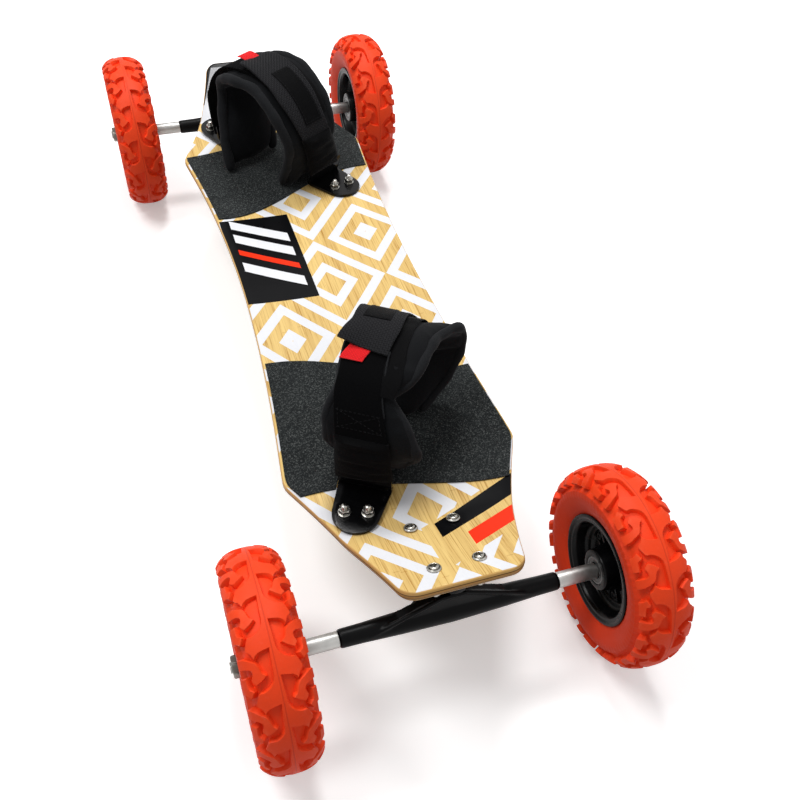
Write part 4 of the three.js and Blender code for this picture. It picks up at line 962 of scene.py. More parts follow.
def insideLoop(point, loop):
    x, y = point
    return sum((y1 > y) != (y2 > y) and x < (x2 - x1) * (y - y1) / (y2 - y1) + x1
               for (x1, y1), (x2, y2) in pairsOf(loop)) % 2 == 1


def nearestLine(point, segments):
    best, p = 1e9, Vector(point)
    for a, b in segments:
        a, span = Vector(a), Vector(b) - Vector(a)
        t = min(max((p - a).dot(span) / max(span.length_squared, 1e-9), 0), 1)
        best = min(best, (a + span * t - p).length)
    return best


def treadTile():
    # one pitch of one half of the tread, flat: points with their heights, and triangles
    seam, period, edge, step = (wheelSizes[key] for key in ("seam", "pitch", "edge", "lineStep"))
    band = splitLine(treadBand, step, False)
    loops = [splitLine(shape, step, True) for shape in (treadHook, treadBlock)]
    # every loop runs the same way round
    loops = [loop if sum(x1 * y2 - x2 * y1 for (x1, y1), (x2, y2) in pairsOf(loop)) > 0 else loop[::-1]
             for loop in loops]
    coords, heights, constraints = [], [], []
    for line, closed in [(band, False)] + [(loop, True) for loop in loops]:
        for amount, level in wheelSizes["bevel"]:
            start = len(coords)
            coords += offsetLine(line, amount, closed)
            heights += [level] * len(line)
            constraints += pairsOf(list(range(start, len(coords))), closed)
    raised = [[(0, seam)] + band + [(0, seam + period)]] + loops

    def levelAt(point):
        return 1.0 if any(insideLoop(point, loop) for loop in raised) else 0.0

    segments = [(coords[a], coords[b]) for a, b in constraints]
    border = [(reach, seam + period * i / 8) for i in range(9) for reach in (0.0, edge)]
    border += [(reach, y) for reach in (5.0, 10.0, 15.5, 24.5, 29.0) for y in (seam, seam + period)]
    coords += border
    heights += [1.0 if point[0] < 21 else 0.0 for point in border]
    rows, columns = wheelSizes["rows"], wheelSizes["columns"]
    for r in range(1, rows):
        for c in range(1, 14):
            point = (edge * (c - (0.5 if r % 2 else 0.0)) / columns, seam + period * r / rows)
            if 0.8 < point[0] < edge - 0.9 and nearestLine(point, segments) > wheelSizes["clear"]:
                coords.append(point)
                heights.append(levelAt(point))
    points, _, triangles, origins = delaunay_2d_cdt([Vector(c) for c in coords], constraints, [], 0, 1e-5)[:4]
    levelOf = [max(heights[o] for o in origin) if origin else levelAt(p) for p, origin in zip(points, origins)]
    return points, levelOf, triangles


def tyreSlice(points, levelOf, triangles):
    # both halves of one pitch, bent to the tyre, with side walls and the inside of the casing
    seam, period = wheelSizes["seam"], wheelSizes["pitch"]
    scale = 2 * math.pi / wheelSizes["pitches"] / period
    walls = [crownAt(wheelSizes["edge"], 0.0)] + splineThrough(sideProfile, 3) + splineThrough(casingProfile, 2)
    flat = [(*crownAt(p.x, level), p.y) for p, level in zip(points, levelOf)]
    flat += [(x, r, seam + period * i / 8) for x, r in walls for i in range(9)]
    skin = list(triangles) + [tuple(len(points) + i for i in face) for face in gridFaces(len(walls), 9)]
    out, faces = [], []
    for half in (-1, 1):
        shift = 0 if half < 0 else period / 2
        faces += [tuple(len(out) + i for i in face[::half]) for face in skin]
        for x, r, place in flat:
            angle = (place + shift) * scale
            out.append(Vector((half * x, -r * math.sin(angle), r * math.cos(angle))) * mm)
    return makeObject("treadPitch", out, faces)


def makeRepeatRound():
    # turned copies of one slice about the X axis, sewn to each other
    tree, given, out = newGroup("repeatRound", "GeometryNodeTree", {
        "Geometry": "Geometry", "Count": 14, "Sew Within": 0.00002, "Finish": "Material"}, {"Geometry": "Geometry"})
    line = addNode(tree, "GeometryNodeMeshLine", {"Count": given["Count"], "Offset": (0, 0, 0)}, mode="OFFSET")
    index = Signal(tree.nodes.new("GeometryNodeInputIndex").outputs[0])
    copies = addNode(tree, "GeometryNodeInstanceOnPoints", {
        "Points": line.outputs[0], "Instance": given["Geometry"],
        "Rotation": combineNode(tree, index * (2 * math.pi / given["Count"]))})
    real = addNode(tree, "GeometryNodeRealizeInstances", {0: copies.outputs[0]})
    sewn = addNode(tree, "GeometryNodeMergeByDistance", {
        "Geometry": real.outputs[0], "Distance": given["Sew Within"]})
    finish = addNode(tree, "GeometryNodeSetMaterial", {"Geometry": sewn.outputs[0], "Material": given["Finish"]})
    feed(out, {"Geometry": finish.outputs[0]})
    return tree


wheelNames = {"front_right": (1, -1), "front_left": (-1, -1), "rear_right": (1, 1), "rear_left": (-1, 1)}


def onWheels(*parts):
    # one copy of each part on each wheel
    for name, (sideX, sideY) in wheelNames.items():
        turned = Matrix.Rotation(math.pi, 4, "Z") if sideX < 0 else Matrix.Identity(4)
        spin = Matrix.Rotation(math.radians(wheelSizes["turns"][name]), 4, "X")
        middle = Vector((sideX * wheelSizes["halfTrack"], sideY * axleDistance, wheelSizes["axleHeight"]))
        for title, obj, finish, slotName, node in parts:
            piece = copyShape(name + title, obj, Matrix.Translation(middle * mm) @ spin @ turned)
            placePiece(piece, finishes[finish], name + "_wheel", [name + node])
    for part in parts:
        removeShape(part[1])


def makeTyres():
    tyre = tyreSlice(*treadTile())
    runNodes(tyre, makeRepeatRound(), {
        "Count": wheelSizes["pitches"], "Sew Within": 0.00003, "Finish": finishes["tyre"]})
    smoothShade(tidyMesh(tyre, 0.00002), 33)
    print("tyre triangles", sum(len(p.vertices) - 2 for p in tyre.data.polygons))
    onWheels(("_knobbyTyre", tyre, "tyre", "tyre_rubber", "_tyre"))


rim = {
    "bolts": 5, "boltCircle": 31.0, "boltTurn": 0.3, "ribTurn": 0.21, "sides": 112,
    "ribHalf": 5.4, "ribEnds": ((23.0, 1.1), (43.5, 1.5)),  # radius and half width at each end
    "profile": [(20.3, 49.9), (20.3, 54.6), (20.9, 56.0), (22.2, 56.0), (22.9, 54.8), (22.6, 52.6), (21.4, 51.2),
                (21.4, 48.4), (18.0, 46.6), (8.6, 44.6), (6.2, 42.6), (6.0, 37.6), (3.6, 36.4), (3.0, 34.6),
                (3.0, 25.4), (4.2, 23.6), (12.0, 22.0), (21.6, 20.4), (22.9, 19.4), (23.0, 14.8), (22.2, 14.25),
                (14.7, 14.2), (14.7, 11.8)],
    "boltProfile": [(2.2, 0), (2.2, 4.6), (4.4, 4.4), (6.0, 3.4), (6.0, 2.0), (4.9, 1.8), (4.9, 0)],
    "race": [(14.9, 8.3), (21.9, 8.3), (22.6, 8.7), (22.7, 9.5), (22.3, 9.9), (22.0, 10.1), (22.0, 12.1),
             (22.3, 12.4), (22.7, 12.7), (22.7, 13.7), (22.3, 14.0), (14.9, 14.0)],
    "sleeve": [(-15, 6.4), (-15, 8.2), (15, 8.2), (15, 6.4)],
}


def turnedAcross(name, profile, count):
    # a closed profile of (place across, radius), turned about X
    rings = [[Vector((p.z, p.x, p.y)) for p in circle(x, r, count)] for x, r in profile]
    return ringStack(name, rings + [rings[0]], False)


def makeRims():
    outline = roundedProfile(rim["profile"], 0.9, 2)
    pieces = [turnedAcross("rimShell", outline + [(-x, r) for x, r in outline[::-1]], rim["sides"])]
    for i in range(rim["bolts"]):
        angle = 2 * math.pi * i / rim["bolts"] + rim["boltTurn"]
        for side in (-1, 1):
            place = axisFrame((0, *polar(rim["boltCircle"], angle).xy), (side, 0, 0))
            pieces.append(latheShape("rimBolt", rim["boltProfile"], 20, place, (0.4, 2)))
        for side in (-1, 1):
            # a shallow rib each side of every bolt
            turn = angle + side * rim["ribTurn"]
            along = Vector((0, math.cos(turn), math.sin(turn)))
            across = Vector((0, -math.sin(turn), math.cos(turn)))
            pieces.append(hullShape("rimRib", [
                (Vector((x, 0, 0)) + along * r + across * s * w) * mm
                for x in (-rim["ribHalf"], rim["ribHalf"]) for r, w in rim["ribEnds"] for s in (-1, 1)]))
    whole = smoothShade(joinAll("rimWhole", pieces), 30)
    face = roundedProfile(rim["race"], 0.25, 2)
    races = [turnedAcross("race", [(side * x, r) for x, r in face], 64) for side in (-1, 1)]
    bearing = smoothShade(joinAll("bearingSet", races + [turnedAcross("sleeve", rim["sleeve"], 32)]), 30)
    onWheels(("_dishedRim", whole, "rim", "rim_plastic", "_rim"),
             ("_wheelBearings", bearing, "bearing", "steel", "_bearings"))


makeTyres()
makeRims()
print("wheels ready")


# trucks: lengths in a frame whose Z stands off the tip of the deck
truck = {
    "baseLength": 84.0, "baseWidth": 57.0, "baseThickness": 7.0, "corner": 8.0, "boltAlong": 63.5,
    "boltAcross": 42.0, "boltShift": 7.0, "boltRadius": 3.0, "headReach": 6.6, "pivot": (0, 27.0, -15.0),
    "axle": (0, deck["axleOffset"], -deck["truckHeight"]), "tilt": 33.0, "voxel": 0.0011,
    "pinRadius": 4.7, "axleThreadRadius": 5.2,
    # nuts: across the corners, height and start; threads: start, end and pitch; washers: radius, thickness
    "pinNut": (8.0, 7.0, 16.6), "axleNut": (10.5, 7.9, 196.3), "lockNut": (6.2, 6.0), "boltPitch": 1.0,
    "pinThread": (13.8, 27.5, 1.25), "rodThread": (195.1, 205.8, 1.25),
    "pinWasher": (10.0, 1.5), "axleWasher": (9.5, 1.4),
    # webs: height, half width below and above, thickness below and above
    "faceWeb": (28, 84, 13, 13.0, 10.0), "ringWeb": (58, 13, 10, 8), "ringGap": 7.7, "ribRadius": 2.4,
    "ring": (0, -13.0, -33.0), "ringProfile": [(-4, 0), (-4, 15.5), (4, 15.5), (4, 0)],
    "pivotBoss": [(-10, 0), (-10, 14), (2, 14), (2, 8.7), (-4, 8.7), (-4, 0)],
    "pinBoss": [(-28, 0), (-28, 16.6), (-17.3, 13.5), (-17.3, 0)],
    "bar": [(-108, 0), (-108, 8.9), (-86, 9.3), (-50, 10.8), (0, 12), (50, 10.8), (86, 9.3), (108, 8.9), (108, 0)],
    "stem": [(-5.6, 0), (-4.2, 3.7), (0, 5.6), (3.4, 4.6), (8.5, 4.6), (16.5, 7.2), (16.5, 0)],
    "dome": [(0.3, 0), (0.3, 6.7), (0.8, 6.7), (1.9, 5.7), (1.7, 5.1), (0.6, 4.9), (0.6, 4.5), (2.6, 4.1),
             (3.2, 2.6), (3.4, 0)],
    "pin": [(-36.5, 0), (-36.5, 7.6), (-33, 7.6), (-33, 4.7), (14, 4.7), (14, 0)],
    "upper": [(-17.0, 5.0), (-17.0, 12.5), (-13, 12.5), (-10.7, 11.2), (-8.6, 12.5), (-4.3, 12.5), (-4.3, 5.0)],
    "lower": [(4.3, 5.0), (4.3, 11.5), (7.5, 11.3), (9.5, 9.3), (14.8, 8.0), (14.8, 5.0)],
    "cup": [(-7.4, 0), (-7.4, 8.7), (2.4, 8.9), (2.6, 6.2), (-4.4, 5.7), (-5.9, 0)],
    "rod": [(-195.3, 0), (-195.3, 6.0), (195.3, 6.0), (195.3, 0)],
    "tube": [(108.3, 6.2), (108.3, 7.8), (148.7, 7.8), (148.7, 6.2)],
}
pivotPoint, ringPoint, axlePoint = (Vector(truck[key]) for key in ("pivot", "ring", "axle"))
kingpinDown = Vector((0, -math.sin(math.radians(truck["tilt"])), -math.cos(math.radians(truck["tilt"]))))
stemDown = (axlePoint - pivotPoint).normalized()
kingpinFrame, pivotFrame = axisFrame(ringPoint, kingpinDown), axisFrame(pivotPoint, stemDown)
barFrame = axisFrame(axlePoint, (1, 0, 0))


def truckFrame(end):
    turn = Matrix.Rotation(math.pi if end == "front" else 0, 4, "Z")
    middle = Matrix.Translation((0, deck["truckDistance"], mountHeight))
    return turn @ middle @ Matrix.Rotation(tipTurn, 4, "X")


def addModifier(obj, name, kind, **settings):
    modifier = obj.modifiers.new(name, kind)
    for key, value in settings.items():
        setattr(modifier, key, value)
    return modifier


def castSkin(name, pieces, rounds):
    # the pieces become one casting with small fillets
    obj = joinAll(name, pieces)
    addModifier(obj, "skin", "REMESH", mode="VOXEL", voxel_size=truck["voxel"])
    addModifier(obj, "relax", "SMOOTH", factor=0.5, iterations=rounds)
    addModifier(obj, "thin", "DECIMATE", ratio=0.4)
    applyAll(obj).data.shade_smooth()
    return obj


def webHull(name, toward, rise, foot, top, thickness, topThickness):
    upward = (toward - axlePoint).normalized()
    square = Vector((1, 0, 0)).cross(upward)
    points = []
    for height, half, thick in ((-3.0, foot, thickness), (rise, top, topThickness)):
        for x in (-half, half):
            for side in (-0.5, 0.5):
                p = axlePoint + upward * height + square * (side * thick)
                points.append(Vector((x, p.y, p.z)) * mm)
    return hullShape(name, points)


def ribHull(name, start, end, radius):
    points, along = [], (end - start).normalized()
    for middle, way in ((start, -1), (end, 1)):
        points += [(middle + Vector((0, *polar(radius, angle).xy))) * mm for angle in aroundSteps(8)]
        points.append((middle + along * (way * radius)) * mm)
    return hullShape(name, points)


def makeHanger():
    ringReach = (ringPoint - axlePoint).length - truck["ringGap"]
    pieces = [latheShape("bar", truck["bar"], 40, barFrame, (1.4, 3)),
              webHull("faceWeb", pivotPoint, *truck["faceWeb"]),
              webHull("ringWeb", ringPoint, ringReach, *truck["ringWeb"]),
              latheShape("ring", truck["ringProfile"], 36, kingpinFrame),
              latheShape("stem", truck["stem"], 24, pivotFrame)]
    upward = (pivotPoint - axlePoint).normalized()
    outward = Vector((1, 0, 0)).cross(upward)
    outward = outward if outward.y > 0 else -outward
    high = axlePoint + upward * 27 + outward * 5.2
    for side in (-1, 1):
        low = axlePoint + upward * 2 + outward * 7.4 + Vector((side * 80, 0, 0))
        pieces.append(ribHull("edgeRib", low, high + Vector((side * 11, 0, 0)), truck["ribRadius"]))
    aside = Vector((11, 0, 0))
    pieces.append(ribHull("topRib", high - aside, high + aside, truck["ribRadius"]))
    return castSkin("hangerCasting", pieces, 5)


def makeBase():
    w, l, r, t = truck["baseWidth"] / 2, truck["baseLength"] / 2, truck["corner"], truck["baseThickness"]
    corner = []
    for sx, sy, start in ((1, 1, 0), (-1, 1, 90), (-1, -1, 180), (1, -1, 270)):
        for i in range(7):
            angle = math.radians(start + 15 * i)
            corner.append((sx * (w - r) + r * math.cos(angle),
                           sy * (l - r) + r * math.sin(angle) + truck["boltShift"]))
    pieces = [hullShape("plate", [Vector((x, y, z)) * mm for x, y in corner for z in (0, -t)])]
    pieces.append(latheShape("pivotBoss", truck["pivotBoss"], 36, pivotFrame))
    pieces.append(latheShape("pinBoss", truck["pinBoss"], 36, kingpinFrame))
    for side in (-1, 1):
        pieces.append(hullShape("sideRib", [
            Vector((side * x, y, z)) * mm
            for x in (12, 8) for y, z in ((26, -6), (26, -12), (-6, -6), (-14, -14))]))
    obj = castSkin("baseCasting", pieces, 3)
    for vertex in obj.data.vertices:
        vertex.co.z = min(vertex.co.z, 0.0)
    return obj


def makeTruckBolt(depth):
    # cup ring and domed head with a cross recess above, nut and thread below
    head = latheShape("domedHead", truck["dome"], 40, None, (0.2, 2))
    cutter = joinAll("crossCut", [
        hullShape("slot", [Vector((x, y, z)) * mm for x in (-a, a) for y in (-b, b) for z in (1.2, 6)])
        for a, b in ((3.2, 0.85), (0.85, 3.2))])
    addModifier(head, "cross", "BOOLEAN", operation="DIFFERENCE", solver="EXACT", use_self=True, object=cutter)
    applyAll(head)
    removeShape(cutter)
    shaft = threadShape("shaft", truck["boltRadius"], -depth - 9.0, 0.35, truck["boltPitch"])
    nut = nutShape("lockNut", *truck["lockNut"], -depth - 6.4, Matrix.Identity(4), truck["boltRadius"])
    return smoothShade(joinAll("truckBolt", [head, shaft, nut]), 32)


def tipTopAt(y):
    distance, height = deck["truckDistance"] + y * math.cos(tipTurn), deck["thickness"]
    for _ in range(3):
        height = (deckTop(0, distance) - mountHeight - y * math.sin(tipTurn)) / math.cos(tipTurn)
        distance = deck["truckDistance"] + y * math.cos(tipTurn) - height * math.sin(tipTurn)
    return height


def makeTruck(end, hanger, base):
    place, axleBody, pinRadius = truckFrame(end), end + "_axle_set", truck["pinRadius"]

    def put(obj, finish, node, body="board"):
        moveTo(obj, place).name = end + "_" + node + "Fine"
        placePiece(obj, finishes[finish], body, [end + "_" + node])

    def putTurned(key, frame, finish, node, count, rounding, body="board"):
        shape = latheShape(key, truck[key], count, frame, rounding)
        put(smoothShade(shape, 40), finish, node, body)

    put(copyShape("h", hanger), "cast", "hanger", axleBody)
    put(copyShape("b", base), "cast", "truck_base")
    pin = [latheShape("pin", truck["pin"], 32), threadShape("pinThread", pinRadius, *truck["pinThread"])]
    put(moveTo(smoothShade(joinAll("kingpin", pin), 32), kingpinFrame), "steel", "kingpin")
    pinNut = nutShape("kingpinNut", *truck["pinNut"], kingpinFrame, pinRadius, truck["pinWasher"])
    put(pinNut, "steel", "kingpin_nut")
    putTurned("upper", kingpinFrame, "urethane", "upper_bushing", 48, (1.0, 3))
    putTurned("lower", kingpinFrame, "urethane", "lower_bushing", 48, (1.0, 3))
    putTurned("cup", pivotFrame, "urethane", "pivot_cup", 40, (0.5, 2))
    rod = [latheShape("rod", truck["rod"], 32)]
    for turn in (math.pi, 0):
        flip = Matrix.Rotation(turn, 4, "X")
        rod.append(threadShape("rodThread", truck["axleThreadRadius"], *truck["rodThread"], flip))
    put(moveTo(smoothShade(joinAll("axleRod", rod), 32), barFrame), "axleSteel", "axle", axleBody)
    for name, side in sides.items():
        along = axisFrame(axlePoint, (side * (1 if end == "rear" else -1), 0, 0))
        putTurned("tube", along, "axleSteel", name + "_axle_spacer", 48, (0.5, 2), axleBody)
        nut = nutShape("axleNut", *truck["axleNut"], along, truck["axleThreadRadius"], truck["axleWasher"])
        put(nut, "darkSteel", name + "_axle_nut", axleBody)
    for number, (y, x) in enumerate(((-0.5, -0.5), (-0.5, 0.5), (0.5, -0.5), (0.5, 0.5)), 1):
        across, long = x * truck["boltAcross"], y * truck["boltAlong"] + truck["boltShift"]
        height = max(tipTopAt(long + share * truck["headReach"]) for share in (-1, 0, 1))
        bolt = makeTruckBolt(height + truck["baseThickness"])
        put(moveTo(bolt, Matrix.Translation((across, long, height))), "steel", f"truck_bolt_{number}")


def makeTrucks():
    hanger, base = makeHanger(), makeBase()
    for end in bindings:
        makeTruck(end, hanger, base)
    removeShape(hanger)
    removeShape(base)


makeTrucks()
print("trucks ready")


gripSizes = {
    "thickness": 1.2, "gap": 0.3, "inset": 2.9, "cell": 9.0, "plateGrow": 1.6, "edgeStep": 6,
    "inner": {"front": (131, 184), "rear": (127, 206)}, "outer": {"front": (303, 334), "rear": (284, 332)},
}


def gripOutline(end):
    sign = -1 if end == "front" else 1
    inner, outer = gripSizes["inner"][end], gripSizes["outer"][end]

    def sideX(distance):
        return halfWidthAt(distance) - gripSizes["inset"]

    def acrossEdge(low, high):
        places = [(share, low + (high - low) * smoothStep(share, -0.9, 0.9)) for share in spread(-1, 1, 24)]
        return [(share * sideX(distance), sign * distance) for share, distance in places]

    def sideEdge(side, start, stop):
        count = max(2, int(abs(stop - start) / gripSizes["edgeStep"]))
        return [(side * sideX(distance), sign * distance) for distance in spread(start, stop, count)[1:-1]]

    return (acrossEdge(*inner) + sideEdge(1, inner[1], outer[1])
            + acrossEdge(*outer)[::-1] + sideEdge(-1, outer[0], inner[0]))


def makeGrip(end):
    outline, holes = gripOutline(end), []
    for side in (-1, 1):
        seat = plateSeat(end, side)
        hole = [seat @ Vector((u, v, 0)) for u, v in plateOutline(gripSizes["plateGrow"])]
        holes.append([(p.x, p.y) for p in hole])
    coords, constraints = [], []
    for loop in [outline] + holes:
        loop, start = splitLine(loop, gripSizes["edgeStep"], True), len(coords)
        coords += loop
        constraints += [(start + i, start + (i + 1) % len(loop)) for i in range(len(loop))]
    segments = [(coords[a], coords[b]) for a, b in constraints]

    def kept(point):
        return insideLoop(point, outline) and not any(insideLoop(point, hole) for hole in holes)

    ys, cell = [p[1] for p in outline], gripSizes["cell"]
    for row in range(int((max(ys) - min(ys)) / cell) + 2):
        for column in range(-14, 15):
            point = ((column + 0.5 * (row % 2)) * cell, min(ys) + row * cell)
            if kept(point) and nearestLine(point, segments) > cell * 0.4:
                coords.append(point)
    found = delaunay_2d_cdt([Vector(c) for c in coords], constraints, [], 0, 1e-5)
    flat = [(v.x, v.y) for v in found[0]]
    work = bmesh.new()
    verts = [work.verts.new(deckPoint(x, y, -gripSizes["gap"])) for x, y in flat]
    for face in found[2]:
        if kept((sum(flat[i][0] for i in face) / 3, sum(flat[i][1] for i in face) / 3)):
            work.faces.new([verts[i] for i in face])
    bmesh.ops.delete(work, geom=[v for v in work.verts if not v.link_faces], context="VERTS")
    for v in bmesh.ops.extrude_face_region(work, geom=work.faces[:])["geom"]:
        if isinstance(v, bmesh.types.BMVert):
            v.co += deckNormal(v.co.x / mm, v.co.y / mm) * gripSizes["thickness"] * mm
    bmesh.ops.recalc_face_normals(work, faces=work.faces)
    obj = smoothShade(objectFrom(work, end + "_gripPaper"), 40)
    placePiece(obj, finishes["grip"], "board", [end + "_grip_sheet"])


for end in bindings:
    makeGrip(end)
print("grip ready")


plateLooks = {
    "crease": 2.6, "flange": 24.0, "boltSpacing": 22.0, "boltTurn": 13.5, "boltRadius": 3.0, "washer": (6.2, 1.25),
    "nut": 5.6, "nutHeight": 5.0, "boltEnd": 5.0, "washerTop": 4.3, "flatFrom": 3.6, "columns": 12,
}


def plateBolts(seat):
    across = seat.to_3x3() @ Vector((1, 0, 0))
    turn = math.radians(plateLooks["boltTurn"]) * (-1 if across.x * across.y > 0 else 1)
    reaches = [share * plateLooks["boltSpacing"] for share in (-0.5, 0.5)]
    return [seat @ Matrix.Translation((reach * math.cos(turn), arch["endReach"] + reach * math.sin(turn), 0))
            for reach in reaches]


def makePlate(end, side):
    # one bent sheet: the flat D, a rounded crease and the flange that runs up inside the strap
    seat, thick, half = plateSeat(end, side), arch["plateThickness"], arch["creaseHalf"] - 0.3
    inverse, crease, flatFrom = seat.inverted(), plateLooks["crease"], plateLooks["flatFrom"]
    rise = []
    for share in (0, 0.5, 1):
        travel = side * (1 - plateLooks["flange"] * travelPerLength * (1 - share))
        spot = archPoint(travel, arch["flangeInset"] + thick / 2)
        spot.y = side * arch["legOffset"]
        p = inverse @ inBinding(end, spot)
        rise.append((p.y, p.z))
    bend = [(rise[2][0], max(rise[2][1], crease + 2.0)), (-0.4, crease + 1.0), (0.7, thick / 2 + 0.9),
            (2.2, thick / 2 + 0.1), (flatFrom, thick / 2)]
    rows = [(half, p.x, p.y) for p in splineThrough(rise[:2] + bend, 5)]
    corner, reach, radius = plateOutline(0.0, 24)[2], arch["endReach"], arch["endRadius"]
    for k in range(1, 12):
        y = flatFrom + (reach + radius - flatFrom) * math.sin(k / 11 * math.pi / 2) - (0.05 if k == 11 else 0)
        if y < corner[1]:
            x = half + (corner[0] - half) * (y / corner[1])
        else:
            x = math.sqrt(max(radius ** 2 - (y - reach) ** 2, 0.04))
        rows.append((x, y, thick / 2))
    points = [seat @ Vector((u, y, z)) * mm for x, y, z in rows for u in spread(-x, x, plateLooks["columns"])]
    obj = makeObject(end + "Plate", points, gridFaces(len(rows), plateLooks["columns"] + 1))
    addModifier(obj, "wall", "SOLIDIFY", thickness=thick * mm, offset=0, use_even_offset=True)
    addModifier(obj, "edge", "BEVEL", width=0.7 * mm, segments=3, limit_method="ANGLE",
                angle_limit=math.radians(50))
    return smoothShade(tidyMesh(applyAll(obj), 1e-7), 40)


def makePlateBolt(frame):
    place, radius, nutStart = frame.translation, plateLooks["boltRadius"], plateLooks["washerTop"]
    under = frame.inverted() @ (deckPoint(place.x, place.y, deck["thickness"]) / mm)
    low = under.z - 0.6
    top = nutStart + plateLooks["nutHeight"] + plateLooks["boltEnd"]
    tip = [(top - 1.25, 0), (top - 1.25, 2.75), (top - 0.6, 2.6), (top - 0.15, 1.9), (top, 0)]
    head = [(low - 3, 0), (low - 3, 4.4), (low, 6.5), (low, 0)]
    return smoothShade(joinAll("plateBolt", [
        nutShape("plateNut", plateLooks["nut"], plateLooks["nutHeight"], nutStart, frame, radius,
                 plateLooks["washer"]),
        threadShape("plateThread", radius, low, top - 1.2, 1.0, frame),
        latheShape("plateTip", tip, 24, frame),
        latheShape("plateHead", head, 32, frame, (0.8, 3))]), 32)


def makePlates():
    for end in bindings:
        for name, side in sides.items():
            node = end + "_" + name + "_binding_plate"
            placePiece(makePlate(end, side), finishes["plate"], "board", [node])
            pieces = [makePlateBolt(frame) for frame in plateBolts(plateSeat(end, side))]
            bolts = smoothShade(joinAll(end + name + "PlateBolts", pieces), 32)
            placePiece(bolts, finishes["steel"], "board")


makePlates()
print("plates ready")


# fabrics: colours, pitch and depth of the weave, roughness; knit has no weave of threads
fabricLooks = {
    "weave": {"name": "webbingWeave", "base": (29, 29, 31), "worn": (66, 66, 68), "cloth": (0.0023, 0.0009, 0.85)},
    "loop": {"name": "brushedLoop", "base": (9, 9, 10), "worn": (30, 30, 32), "cloth": (0.0009, 0.0002, 0.95),
             "sheen": 0.03, "shine": 0.02},
    "sleeve": {"name": "sleeveCloth", "base": (8, 8, 9), "worn": (28, 28, 30), "cloth": (0.0007, 0.0001, 0.7),
               "sheen": 0.02, "shine": 0.03},
    "pad": {"name": "padJersey", "base": (16, 17, 19), "worn": (40, 40, 42), "cloth": (0.0008, 0.0001, 0.82),
            "knit": True},
    "rim": {"name": "rimJersey", "base": (28, 29, 31), "worn": (54, 54, 56), "cloth": (0.0009, 0.00015, 0.85),
            "knit": True},
    "tab": {"name": "redWeave", "base": (232, 33, 38), "worn": (248, 110, 104), "cloth": (0.0013, 0.0004, 0.7),
            "sheen": 0.1, "mottle": 0.12},
    "patch": {"name": "patchCloth", "base": (5, 5, 6), "worn": (20, 20, 22), "cloth": (0.0009, 0.00015, 0.6),
              "sheen": 0.01, "shine": 0.03},
    "thread": {"name": "sewingThread", "base": (26, 26, 28), "worn": (52, 52, 54),
               "cloth": (0.0004, 0.0001, 0.7), "knit": True},
}


def clothMaterial(look):
    pitch, depth, rough = look["cloth"]
    settings = {"Sheen Weight": look.get("sheen", 0.06), "Sheen Roughness": 0.5,
                "Specular IOR Level": look.get("shine", 0.06), "Sheen Tint": (0.6, 0.6, 0.62, 1)}
    material, tree, shader, place, color = wornMaterial(look | {
        "shader": settings, "wear": (45.0, look.get("mottle", 0.3), 0.2), "rough": (rough - 0.08, rough + 0.05)})
    if look.get("knit"):
        knit = addNode(tree, "ShaderNodeTexVoronoi", {"Vector": place, "Scale": 1.0 / pitch})
        height = 1.0 - Signal(knit.outputs["Distance"])
        # painted shade and highlight: the knit is darker between its loops and lighter on them
        shade = height.ramp(0.2, 0.9, 0.72, 1.12)
    else:
        flat = addNode(tree, "ShaderNodeUVMap", None, uv_map="cloth").outputs[0]
        weave = fillGroup(tree, clothWeave, {"Vector": flat, "Pitch": pitch, "Rib": 0.7})
        height, shade = weave["Height"], weave["PaintedShade"]
    lint = noiseNode(tree, place, 620, 2, 0.7).ramp(0.74, 0.82, 0.0, 0.08)
    # the weave's or knit's painted shade and highlight multiply the colour
    color = mixColor(tree, 1.0, color, shade.gray(), "MULTIPLY")
    feed(shader, {"Base Color": mixColor(tree, lint, color, linear(90, 90, 92)),
                  "Normal": bumpFrom(height, depth, 0.8)})
    return material


fabrics = {title: clothMaterial(look) for title, look in fabricLooks.items()}


